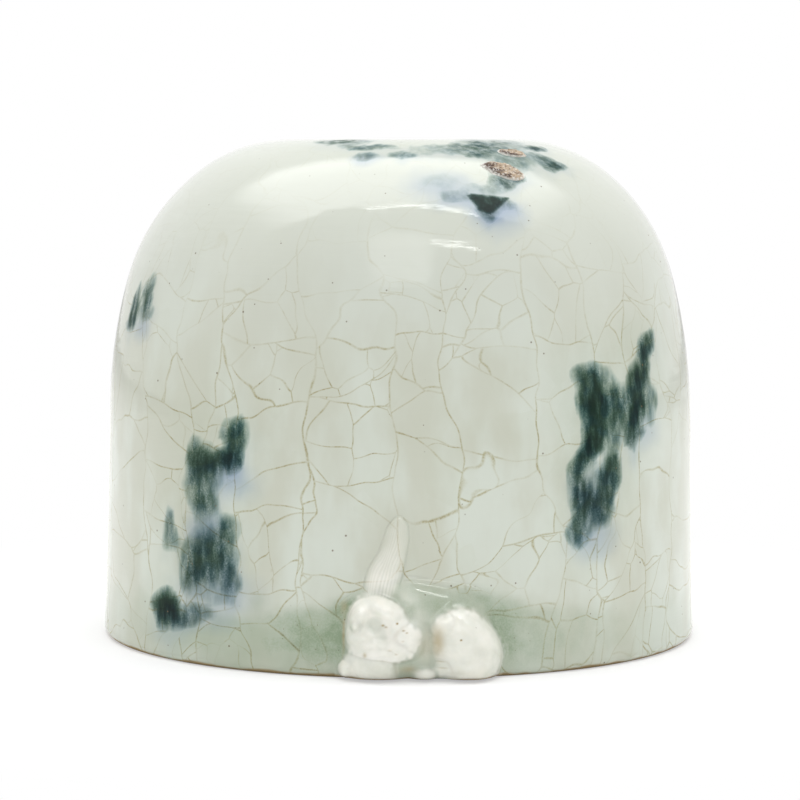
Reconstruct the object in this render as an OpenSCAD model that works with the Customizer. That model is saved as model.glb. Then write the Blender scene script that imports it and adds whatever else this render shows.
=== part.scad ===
// Water coupe: a domed pot with a small mouth, thrown in one piece, with a crouching beast
// luted to its wall at the foot and two pads of kiln grit fused to its shoulder.
// Millimetres. Z is up, the front is -Y and the foot stands on Z = 0.

/* [Vessel] */
// Widest diameter, just above the foot
body_d = 88; // [76:0.5:110]
// Height from the foot to the top of the lip
body_h = 73.5; // [68:0.5:95]
// Lean of the lower wall off upright, in degrees
wall_taper = 1.14; // [0:0.02:3]
// Radius of the upper flank, where the wall begins to close in
flank_r = 83; // [70:1:110]
// Slope at which the flank runs into the shoulder, in degrees off upright
flank_end = 15.5; // [10:0.5:20]
// Radius of the shoulder
shoulder_r = 29.3; // [26:0.1:34]
// Slope at which the shoulder runs into the crown, in degrees off upright
shoulder_end = 52; // [44:0.5:60]
// Radius of the crown round the mouth
crown_r = 22.2; // [18:0.1:26]
// Thickness of the thrown wall
wall_t = 3.6; // [2.6:0.1:5]
// Thickness of the floor
floor_t = 5; // [3:0.1:8]
// Radius of the hollow corner between the floor and the wall
hollow_r = 8; // [4:0.5:14]
// Diameter of the mouth
mouth_d = 28; // [20:0.5:36]

/* [Foot] */
// Width of the foot ring's resting face
foot_w = 4.2; // [2.5:0.1:6]
// Depth of the recess turned out inside the foot ring
foot_h = 2.4; // [1:0.1:4]
// Radius of the worn outer edge of the foot
edge_r = 1.3; // [0.6:0.1:2.5]

/* [Beast] */
// Angle of the beast round the wall from the front, in degrees
beast_turn = 0; // [-30:1:30]
// Height of the beast's lowest paw above the table
beast_lift = 0.4; // [0.3:0.1:2]
// Film of slip left between two luted pieces
lute = 0.05; // [0.03:0.01:0.1]
// Width of the slip bed on the wall
bed_w = 27; // [22:0.5:32]
// Height of the slip bed
bed_h = 14.2; // [10:0.2:18]
// Thickness of the slip bed at its middle
bed_t = 0.9; // [0.5:0.1:1.4]
// Width of the trunk
trunk_w = 18; // [16:0.5:24]
// Height of the trunk
trunk_h = 12.4; // [9:0.2:15]
// Thickness of the trunk
trunk_t = 1.5; // [0.8:0.1:2.4]
// Width of the haunch
haunch_w = 11.2; // [8:0.2:14]
// Height of the haunch
haunch_h = 9.6; // [7:0.2:12]
// Thickness of the haunch
haunch_t = 2.6; // [1.8:0.1:4]
// Width of the head
head_w = 10.2; // [8:0.2:13]
// Height of the head
head_h = 9; // [7:0.2:12]
// Thickness of the head
head_t = 2.7; // [1.8:0.1:4]
// Distance between the middles of the head and the haunch
head_to_haunch = 11.6; // [10:0.2:15]
// Width of the muzzle
muzzle_w = 5.6; // [3:0.1:7]
// Height of the muzzle
muzzle_h = 5; // [3:0.1:6.5]
// Thickness of the muzzle
muzzle_t = 0.9; // [0.5:0.1:1.6]
// Length of the ear
ear_l = 5; // [3:0.1:6.5]
// Width of the ear
ear_w = 2.8; // [1.6:0.1:4]
// Thickness of the ear's rolled edge
ear_t = 0.7; // [0.4:0.1:1.2]
// Width of a paw
paw_w = 2.8; // [2:0.1:4]
// Height of a paw or a folded leg
paw_h = 2.8; // [1.6:0.1:3.6]
// Thickness of a paw or a folded leg
paw_t = 1.3; // [0.6:0.1:1.8]
// Length of the foreleg folded under the head
foreleg_l = 6.6; // [4:0.1:8]
// Length of the hind leg folded under the haunch
hind_leg_l = 7.6; // [5:0.1:10]

/* [Tail] */
// Height that the raised tail climbs above the head
tail_l = 9.6; // [7:0.2:14]
// Width of the tail at its bushiest
tail_w = 4.5; // [2.4:0.1:6]
// Thickness of the tail at its root
tail_t = 1.3; // [0.8:0.1:2.4]
// Sideways sweep of the tail from root to tip
tail_sweep = 4; // [1:0.2:6]
// Number of combed locks across the tail
tail_locks = 5; // [3:1:7]
// Depth of the comb marks between the locks
lock_depth = 0.2; // [0.1:0.02:0.4]

/* [Kiln grit] */
// Angle of the large pad round the shoulder from the front, in degrees
large_turn = 28.6; // [15:0.2:60]
// Distance of the large pad down the dome from the top of the crown
large_drop = 14.2; // [9:0.2:24]
// Length of the large pad
large_l = 6.6; // [4:0.1:9]
// Width of the large pad
large_w = 3.8; // [2.4:0.1:6]
// Tilt of the large pad's length on the dome, in degrees
large_tilt = -28; // [-60:1:60]
// Height of the large pad's rim above the glaze
large_t = 0.8; // [0.4:0.1:1.4]
// Angle of the small pad round the shoulder from the front, in degrees
small_turn = 37.4; // [30:0.2:75]
// Distance of the small pad down the dome from the top of the crown
small_drop = 9.6; // [6:0.2:18]
// Length of the small pad
small_l = 4.8; // [3:0.1:7]
// Width of the small pad
small_w = 2.6; // [1.8:0.1:4.5]
// Tilt of the small pad's length on the dome, in degrees
small_tilt = -12; // [-60:1:60]
// Height of the small pad's rim above the glaze
small_t = 0.7; // [0.3:0.1:1.2]

/* [Hidden] */
$fn = 96;

celadon = [0.80, 0.83, 0.76];
white_clay = [0.93, 0.92, 0.88];
brown_grit = [0.55, 0.44, 0.34];

// The dome is a leaning wall and three arcs that follow each other without a corner.
// A slope of 0 degrees is upright and 90 is the flat of the crown.
arc_radii = [flank_r, shoulder_r, crown_r];
arc_slopes = [wall_taper, flank_end, shoulder_end, 90];
foot_r = body_d / 2;

// Direction square to the wall where it has this slope, as [outward, up]
function facing(slope) = [cos(slope), sin(slope)];

// Rise of the arcs from number i up to the top of the crown
function arcs_rise(i) = i > 2 ? 0
    : arc_radii[i] * (sin(arc_slopes[i + 1]) - sin(arc_slopes[i])) + arcs_rise(i + 1);

wall_top_z = body_h - arcs_rise(0);
wall_top = [foot_r - (wall_top_z - edge_r) * tan(wall_taper), wall_top_z];
arc_0 = wall_top - flank_r * facing(wall_taper);
arc_1 = arc_0 + (flank_r - shoulder_r) * facing(flank_end);
arc_2 = arc_1 + (shoulder_r - crown_r) * facing(shoulder_end);
arc_centres = [arc_0, arc_1, arc_2];

// Point of the profile, sunk into the wall by inset, where arc i has this slope
function on_arc(i, slope, inset) = arc_centres[i] + (arc_radii[i] - inset) * facing(slope);

// Radius of the leaning wall, sunk by inset, at height z
function lean_r(z, inset) = foot_r - (z - edge_r) * tan(wall_taper) - inset / cos(wall_taper);

// Lengths along the profile, from the foot plane up the wall and over each arc
wall_len = wall_top_z / cos(wall_taper);
arc_lens = [for (i = [0:2]) arc_radii[i] * (arc_slopes[i + 1] - arc_slopes[i]) * PI / 180];
crown_len = wall_len + arc_lens[0] + arc_lens[1] + arc_lens[2];

// Which arc a length s along the profile falls on, or -1 for the leaning wall
function arc_at(s, i = 0, start = wall_len) = s < wall_len ? -1
    : i == 2 || s < start + arc_lens[i] ? i : arc_at(s, i + 1, start + arc_lens[i]);
function arc_start(i) = i == 0 ? wall_len : arc_start(i - 1) + arc_lens[i - 1];

// Slope of the wall, and its point [radius, z], at a length s along the profile
function slope_at(s) = let (i = arc_at(s))
    i < 0 ? wall_taper : arc_slopes[i] + (s - arc_start(i)) / arc_radii[i] * 180 / PI;
function wall_at(s) = let (i = arc_at(s), z = s * cos(wall_taper))
    i < 0 ? [lean_r(z, 0), z] : on_arc(i, slope_at(s), 0);

// Point that lies x round the wall and y along it from a place [turn, length], raised by h
function on_wall(place, x, y, h) =
    let (
        p = wall_at(place[1] + y) + h * facing(slope_at(place[1] + y)),
        turn = place[0] + x / wall_at(place[1])[0] * 180 / PI
    )
    [p[0] * sin(turn), -p[0] * cos(turn), p[1]];

// Slice of a disc between two slopes
module sector(centre, radius, from, to) {
    translate(centre)
        intersection() {
            circle(radius);
            polygon([[0, 0], 2 * radius * facing(from), 2 * radius * facing(to)]);
        }
}

// Half section of the dome, sunk by inset, solid from z = bottom to its top
module dome_2d(inset, bottom) {
    intersection() {
        translate([0, bottom])
            square([body_d, body_h]);
        union() {
            polygon([
                [0, bottom],
                [lean_r(bottom, inset), bottom],
                for (i = [0:2]) on_arc(i, arc_slopes[i], inset),
                on_arc(2, 90, inset),
                [0, on_arc(2, 90, inset)[1]]
            ]);
            for (i = [0:2])
                sector(arc_centres[i], arc_radii[i] - inset, arc_slopes[i], arc_slopes[i + 1]);
        }
    }
}

// Half section of a square corner piece that leaves a quarter round of this radius
module corner_2d(radius) {
    difference() {
        translate([-radius, -radius])
            square(2 * radius);
        translate([-radius, radius])
            circle(radius);
        translate([-3 * radius, -2 * radius])
            square([2 * radius, 4 * radius]);
        translate([-2 * radius, radius])
            square([4 * radius, 2 * radius]);
    }
}

lip_r = wall_t / 2;
lip_ring_r = mouth_d / 2 + lip_r;
crown_c = arc_centres[2];
lip_run = max(0, lip_ring_r - crown_c[0]);
lip_z = crown_c[1] + sqrt(pow(crown_r - lip_r, 2) - lip_run * lip_run);
floor_z = foot_h + floor_t;
recess_r = foot_r - edge_r - foot_w;

// Hollow inside, with a round corner where the wall meets the floor
module hollow_2d() {
    difference() {
        dome_2d(wall_t, floor_z);
        translate([lean_r(floor_z, wall_t), floor_z])
            corner_2d(hollow_r);
    }
}

module vessel() {
    color(celadon)
        rotate_extrude() {
            difference() {
                dome_2d(0, 0);
                hollow_2d();
                translate([0, floor_z + 1])
                    square([lip_ring_r, body_h]);
                translate([lean_r(0, 0), 0])
                    corner_2d(edge_r);
                translate([0, -1])
                    square([recess_r, foot_h + 1]);
            }
            translate([lip_ring_r, lip_z])
                intersection() {
                    circle(lip_r);
                    translate([-2 * lip_r, -2 * lip_r])
                        square([2 * lip_r, 4 * lip_r]);
                }
        }
}

// A lobe of clay pressed on: its middle on the wall, its half width and half height, its turn,
// how square its outline is, its thickness, how full its dome is and the depth of its dimple.
function lobe(x, y, w, h, turn, square_n, t, full, dimple = 0) =
    [x, y, w / 2, h / 2, turn, square_n, t, full, dimple];

// How far out in a lobe a point lies: 0 at its middle and 1 at its rim
function spread(l, x, y) =
    let (
        dx = x - l[0],
        dy = y - l[1],
        across = (dx * cos(l[4]) + dy * sin(l[4])) / l[2],
        along = (dy * cos(l[4]) - dx * sin(l[4])) / l[3]
    )
    pow(pow(abs(across), l[5]) + pow(abs(along), l[5]), 1 / l[5]);

// Thickness of a lobe at a point
function rise(l, x, y) =
    let (k = spread(l, x, y))
    k >= 1 ? 0 : l[6] * (1 - pow(k, l[7])) * (1 - l[8] * exp(-pow(2.2 * k, 2)));

// Point of a lobe, k out from its middle towards its rim, in the direction of an angle
function in_lobe(l, k, angle) =
    let (
        reach = k / pow(pow(abs(cos(angle)) / l[2], l[5]) + pow(abs(sin(angle)) / l[3], l[5]), 1 / l[5]),
        a = angle + l[4]
    )
    [l[0] + reach * cos(a), l[1] + reach * sin(a)];

// The beast's pieces are laid over each other in this order, each on those before it.
mid_y = beast_lift + bed_h / 2;
head_y = beast_lift + 0.7 * paw_h + head_h / 2;
haunch_y = beast_lift + haunch_h / 2;
head_x = -0.2 * head_to_haunch;
haunch_x = head_x + head_to_haunch;
paw_y = beast_lift + paw_h / 2;
foreleg_x = head_x - 0.1 * head_w;
hind_leg_x = haunch_x;
toe_gap = 0.2;
fore_paw_x = foreleg_x - (foreleg_l + paw_w) / 2 - toe_gap;
hind_paw_x = hind_leg_x - (hind_leg_l + paw_w) / 2 - toe_gap;
bed = lobe((head_x + haunch_x) / 2, mid_y, bed_w, bed_h, 0, 2.6, bed_t, 2);
body = lobe((head_x + haunch_x) / 2 - 0.04 * trunk_w, mid_y, trunk_w, trunk_h, -6, 2.6, trunk_t, 2.4);
rump = lobe(haunch_x, haunch_y, haunch_w, haunch_h, -30, 2.3, haunch_t, 2.5);
skull = lobe(head_x, head_y, head_w, head_h, -22, 2.6, head_t, 2.7);
snout = lobe(head_x + 0.32 * head_w, head_y - 0.16 * head_h, muzzle_w, muzzle_h, -20, 2.2, muzzle_t, 2.2);
ear_roll = lobe(head_x - 0.3 * head_w, head_y + 0.14 * head_h, ear_w, ear_l, -6, 2, ear_t, 3, 0.6);
limb_places = [[fore_paw_x, paw_w], [foreleg_x, foreleg_l], [hind_paw_x, paw_w], [hind_leg_x, hind_leg_l]];
limbs = [for (place = limb_places) lobe(place[0], paw_y, place[1], paw_h, 0, 2.2, paw_t, 2.2)];
layers = concat([bed, body, rump, skull, snout, ear_roll], limbs);
beast_place = [beast_turn, 0];

// Height off the wall at which layer number k starts
function under(k, x, y) = k == 0 ? lute : under(k - 1, x, y) + lute + rise(layers[k - 1], x, y);

// Triangles between two closed rings of n points that start at a and b
function band(a, b, n) = [
    for (i = [0:n - 1], part = [0:1])
        let (j = (i + 1) % n)
        part == 0 ? [a + i, b + i, b + j] : [a + i, b + j, a + j]
];
// Triangles from the point at tip to a closed ring of n points that starts at a
function fan(tip, a, n) = [for (i = [0:n - 1]) [tip, a + i, a + (i + 1) % n]];
function turned_over(faces) = [for (f = faces) [f[2], f[1], f[0]]];

// Solid of a lobe: its domed front, its back laid on what is under it, and one shared rim
module pressed_lobe(l, place, back, rings, segments) {
    grid = concat([[l[0], l[1]]], [
        for (i = [1:rings], s = [0:segments - 1])
            in_lobe(l, sin(90 * i / rings), 360 * s / segments)
    ]);
    inner = len(grid) - segments;
    points = concat(
        [for (q = grid) on_wall(place, q[0], q[1], back(q[0], q[1]) + rise(l, q[0], q[1]))],
        [for (i = [0:inner - 1]) on_wall(place, grid[i][0], grid[i][1], back(grid[i][0], grid[i][1]))]
    );
    n = len(grid);
    front_faces = concat(
        fan(0, 1, segments),
        [for (i = [0:rings - 2], f = band(1 + i * segments, 1 + (i + 1) * segments, segments)) f]
    );
    back_faces = concat(
        fan(n, n + 1, segments),
        [for (i = [0:rings - 3], f = band(n + 1 + i * segments, n + 1 + (i + 1) * segments, segments)) f],
        band(n + 1 + (rings - 2) * segments, inner, segments)
    );
    polyhedron(points, concat(turned_over(front_faces), back_faces));
}

// Layer number k of the beast
module beast_layer(k, rings = 7, segments = 30) {
    pressed_lobe(layers[k], beast_place, function (x, y) under(k, x, y), rings, segments);
}

module slip_bed() {
    color(celadon)
        beast_layer(0);
}

module trunk() {
    color(white_clay)
        beast_layer(1);
}

module haunch() {
    color(white_clay)
        beast_layer(2);
}

module head() {
    color(white_clay)
        beast_layer(3);
}

module muzzle() {
    color(white_clay)
        beast_layer(4, 5, 20);
}

module ear() {
    color(white_clay)
        beast_layer(5, 6, 20);
}

module fore_paws() {
    color(white_clay) {
        beast_layer(6, 4, 16);
        beast_layer(7, 4, 16);
    }
}

module hind_paws() {
    color(white_clay) {
        beast_layer(8, 4, 16);
        beast_layer(9, 4, 16);
    }
}

// The tail climbs the wall in an S from just above the head.
tail_root = [head_x - 0.12 * head_w, skull[1] + 0.57 * head_h + 6 * lute];
tail_path = [
    tail_root,
    tail_root + [0.15 * tail_sweep, 0.42 * tail_l],
    tail_root + [1.15 * tail_sweep, 0.56 * tail_l],
    tail_root + [0.9 * tail_sweep, tail_l]
];

// Point of the tail's middle line, t from root to tip, and its direction
function tail_mid(t) =
    pow(1 - t, 3) * tail_path[0] + 3 * t * pow(1 - t, 2) * tail_path[1]
    + 3 * t * t * (1 - t) * tail_path[2] + pow(t, 3) * tail_path[3];
function tail_side(t) =
    let (d = tail_mid(min(1, t + 0.01)) - tail_mid(max(0, t - 0.01)))
    [d[1], -d[0]] / norm(d);

// Half width and thickness of the tail at t, and the comb marks across it at w from -1 to 1
function tail_half(t) = tail_w / 2 * (1 - 0.75 * t * t) * (0.7 + 0.3 * sin(180 * t));
function tail_rise(t, w) =
    (tail_t * (1 - 0.6 * t) - lock_depth * (1 - t) * (1 + cos(180 * tail_locks * (w + 1))) / 2)
    * (1 - pow(abs(w), 2.4)) * min(1, 6 * (1 - t) + 0.08) * min(1, 8 * t + 0.3);

module tail() {
    steps = 14;
    cells = 2 * tail_locks + 2;
    row = cells + 1;
    grid = [
        for (i = [0:steps], j = [0:cells])
            let (t = i / steps, w = 2 * j / cells - 1, q = tail_mid(t) + w * tail_half(t) * tail_side(t))
            [q[0], q[1], tail_rise(t, w)]
    ];
    n = len(grid);
    edge_t = 2 * lute;
    points = concat(
        [for (q = grid) on_wall(beast_place, q[0], q[1], under(3, q[0], q[1]) + edge_t + q[2])],
        [for (q = grid) on_wall(beast_place, q[0], q[1], under(3, q[0], q[1]))]
    );
    cell_faces = [
        for (i = [0:steps - 1], j = [0:cells - 1], part = [0:1])
            let (a = i * row + j, b = a + row)
            part == 0 ? [a, b, b + 1] : [a, b + 1, a + 1]
    ];
    rim = concat(
        [for (j = [0:cells - 1]) j],
        [for (i = [0:steps - 1]) i * row + cells],
        [for (j = [0:cells - 1]) steps * row + cells - j],
        [for (i = [0:steps - 1]) (steps - i) * row]
    );
    rim_faces = [
        for (i = [0:len(rim) - 1], part = [0:1])
            let (a = rim[i], b = rim[(i + 1) % len(rim)])
            part == 0 ? [a, b, n + b] : [a, n + b, n + a]
    ];
    color(white_clay)
        polyhedron(points, concat(cell_faces, [for (f = turned_over(cell_faces)) f + [n, n, n]], rim_faces));
}

// A pad of grit has a raised rim round a sunk middle.
module grit_pad(place, l, w, tilt, t) {
    pressed_lobe(lobe(0, 0, l, w, tilt, 2.1, t, 4, 0.6), place, function (x, y) lute, 6, 22);
}

module grit_large() {
    color(brown_grit)
        grit_pad([large_turn, crown_len - large_drop], large_l, large_w, large_tilt, large_t);
}

module grit_small() {
    color(brown_grit)
        grit_pad([small_turn, crown_len - small_drop], small_l, small_w, small_tilt, small_t);
}

vessel();
slip_bed();
trunk();
haunch();
head();
muzzle();
ear();
tail();
fore_paws();
hind_paws();
grit_large();
grit_small();
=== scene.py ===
"""Water coupe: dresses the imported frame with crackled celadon, brushed daubs and the luted beast.

Lengths are metres unless a name ends in _mm or _MM. The front is -Y and the foot stands on Z = 0.
"""

import math
from collections import namedtuple

import bmesh
import bpy
import numpy as np
from bpy.props import FloatProperty, FloatVectorProperty, IntProperty, PointerProperty
from bpy.types import Operator, Panel, PropertyGroup
from mathutils import Matrix, Vector


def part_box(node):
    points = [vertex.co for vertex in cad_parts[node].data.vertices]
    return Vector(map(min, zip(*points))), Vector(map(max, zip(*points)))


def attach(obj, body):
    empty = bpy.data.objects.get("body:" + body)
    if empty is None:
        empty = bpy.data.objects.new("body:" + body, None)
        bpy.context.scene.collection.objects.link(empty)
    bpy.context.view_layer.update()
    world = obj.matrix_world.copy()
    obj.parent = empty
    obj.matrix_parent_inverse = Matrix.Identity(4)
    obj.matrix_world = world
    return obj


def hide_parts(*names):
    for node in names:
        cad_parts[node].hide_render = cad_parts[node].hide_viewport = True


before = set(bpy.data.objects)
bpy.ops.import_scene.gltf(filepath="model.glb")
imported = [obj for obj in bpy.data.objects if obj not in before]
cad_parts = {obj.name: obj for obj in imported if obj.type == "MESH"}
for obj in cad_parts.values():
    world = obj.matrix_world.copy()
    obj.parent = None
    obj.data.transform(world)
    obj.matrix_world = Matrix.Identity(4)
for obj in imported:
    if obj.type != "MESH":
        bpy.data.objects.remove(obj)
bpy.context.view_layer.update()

bl_info = {
    "name": "Water Coupe",
    "version": (1, 0, 0),
    "blender": (4, 5, 0),
    "location": "3D View > Sidebar > Coupe",
    "description": "Throws, glazes and decorates a small domed water pot",
    "category": "Object",
}

VESSEL_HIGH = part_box("vessel")[1]
MM = 0.001
BODY = "root"


def glaze_tone(red, green, blue):
    """Scene colour of a tone that is written as it looks, 0 to 255."""
    def linear(value):
        value /= 255
        return value / 12.92 if value <= 0.04045 else ((value + 0.055) / 1.055) ** 2.4
    return linear(red), linear(green), linear(blue)


def rgba(colour):
    return (*colour, 1.0)


def length(name, description, default):
    return FloatProperty(
        name=name, description=description, default=default, subtype="DISTANCE", unit="LENGTH"
    )


def angle(name, description, degrees):
    return FloatProperty(name=name, description=description, default=math.radians(degrees), subtype="ANGLE")


def tone(name, description, red, green, blue):
    colour = glaze_tone(red, green, blue)
    return FloatVectorProperty(
        name=name, description=description, default=colour, subtype="COLOR", min=0, max=1
    )


def level(name, description, default):
    """A brightness, where 1 is that of a white wall."""
    return FloatProperty(name=name, description=description, default=default, min=0)


class PotSizes(PropertyGroup):
    """Sizes of the thrown pot"""

    radius: length("Radius", "Widest radius, just above the foot", VESSEL_HIGH[0])
    height: length("Height", "From the foot to the top of the lip", VESSEL_HIGH[2])
    wall_taper: angle("Wall taper", "Lean of the lower wall off upright", 1.14)
    flank_radius: length("Flank radius", "Radius where the wall begins to close in", 83 * MM)
    flank_end: angle("Flank end", "Slope where the flank meets the shoulder", 15.5)
    shoulder_radius: length("Shoulder radius", "Radius of the shoulder", 29.3 * MM)
    shoulder_end: angle("Shoulder end", "Slope where the shoulder meets the crown", 52)
    crown_radius: length("Crown radius", "Radius of the crown round the mouth", 22.2 * MM)
    wall: length("Wall", "Thickness of the thrown wall", 3.6 * MM)
    floor: length("Floor", "Thickness of the floor", 5 * MM)
    hollow_radius: length("Hollow radius", "Corner between floor and wall inside", 8 * MM)
    mouth_radius: length("Mouth radius", "Radius of the mouth", 14 * MM)
    foot_width: length("Foot width", "Width of the ring that it stands on", 4.2 * MM)
    foot_recess: length("Foot recess", "Depth turned out inside the foot ring", 2.4 * MM)
    edge_radius: length("Edge radius", "Worn outer edge of the foot", 1.3 * MM)
    segments: IntProperty(name="Segments", description="Facets round the pot", default=320, min=32)
    sway: length("Sway", "How far the thrown wall strays from a true round", 0.16 * MM)
    ripple: length("Ripple", "Height of the ripples left by the fingers and the glaze", 0.035 * MM)
    crown_dip: length("Crown dip", "How far the crown leans down on its left side", 0.3 * MM)
    seed: FloatProperty(name="Seed", description="Which of many chance sways the wall has", default=0.37)


class BeastSizes(PropertyGroup):
    """Sizes of the luted beast"""

    lift: length("Lift", "Height of the lowest paw above the table", 0.35 * MM)
    soft: length("Softness", "Fillet of glaze between two of its pieces", 1.6 * MM)
    sunk: length("Sunk", "Depth of each piece's back in the wall", 0.5 * MM)
    grid: length("Grid", "Spacing of the modelled surface", 0.1 * MM)
    hair: length("Hair", "Depth of the comb marks in the tail", 0.03 * MM)
    grain: length("Grain", "Unevenness of the fired clay", 0.06 * MM)


class GritSizes(PropertyGroup):
    """Sizes of the two pads of kiln grit on the shoulder"""

    large_turn: angle("Large turn", "Angle of the large pad from the front", 28.6)
    large_drop: length("Large drop", "Distance of the large pad down the dome", 14.2 * MM)
    large_length: length("Large length", "Length of the large pad", 6.6 * MM)
    large_width: length("Large width", "Width of the large pad", 3.8 * MM)
    large_tilt: angle("Large tilt", "Tilt of the large pad's length on the dome", -28)
    large_rim: length("Large rim", "Height of the large pad's rim", 0.8 * MM)
    small_turn: angle("Small turn", "Angle of the small pad from the front", 37.4)
    small_drop: length("Small drop", "Distance of the small pad down the dome", 9.6 * MM)
    small_length: length("Small length", "Length of the small pad", 4.8 * MM)
    small_width: length("Small width", "Width of the small pad", 2.6 * MM)
    small_tilt: angle("Small tilt", "Tilt of the small pad's length on the dome", -12)
    small_rim: length("Small rim", "Height of the small pad's rim", 0.7 * MM)


class GlazeTones(PropertyGroup):
    """Colours of the glazes and stains"""

    celadon: tone("Celadon", "Celadon over the wall", 197, 200, 185)
    milk: tone("Milk", "Whiter, bluer clouds in the glaze", 207, 213, 202)
    pale: tone("Pale", "Thin celadon towards the crown", 202, 206, 195)
    moss: tone("Moss", "Greener clouds in the glaze", 189, 194, 174)
    pool: tone("Pool", "Green where the glaze lies thick", 134, 153, 124)
    craze: tone("Craze", "Stained craze lines", 154, 147, 112)
    speck: tone("Speck", "Iron specks", 104, 90, 66)
    ink: tone("Ink", "Brushed colour where it lies thick", 19, 41, 37)
    leaf: tone("Leaf", "Greener streaks in the brushed colour", 30, 50, 37)
    bloom: tone("Bloom", "Blue that runs out below a daub", 146, 160, 174)
    biscuit: tone("Biscuit", "Bare clay of the foot ring", 156, 138, 104)
    white: tone("White", "Opaque white glaze of the beast", 247, 245, 237)
    rust: tone("Rust", "Brown that stains the creases", 176, 158, 116)
    grit: tone("Grit", "Fused kiln grit", 178, 158, 134)
    grit_dark: tone("Dark grit", "Burnt hollows in the grit", 74, 54, 42)


class StageSizes(PropertyGroup):
    """Camera and light round the pot"""

    camera_back: length("Camera distance", "From the pot's axis to the camera", 465 * MM)
    camera_height: length("Camera height", "Height of the camera", 73.96 * MM)
    camera_tilt: angle("Camera tilt", "How far the camera looks down", 4.838)
    camera_roll: angle("Camera roll", "Turn of the camera about its own line of sight", 0.3)
    lens_mm: FloatProperty(
        name="Lens", description="Focal length on a 36 mm sensor", default=140.36, unit="CAMERA"
    )
    fill: level("Fill", "Level of the even light from all round", 0.56)
    softbox: level("Softbox", "Brightness of the box overhead", 2.55)
    front: level("Front panel", "Brightness of the panel in front", 1.6)
    side: level("Side panels", "Brightness of the panels at both sides", 0.3)
    strip: level("Strips", "Brightness of the two thin strips overhead", 10.0)


# Shape of the dome


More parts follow.
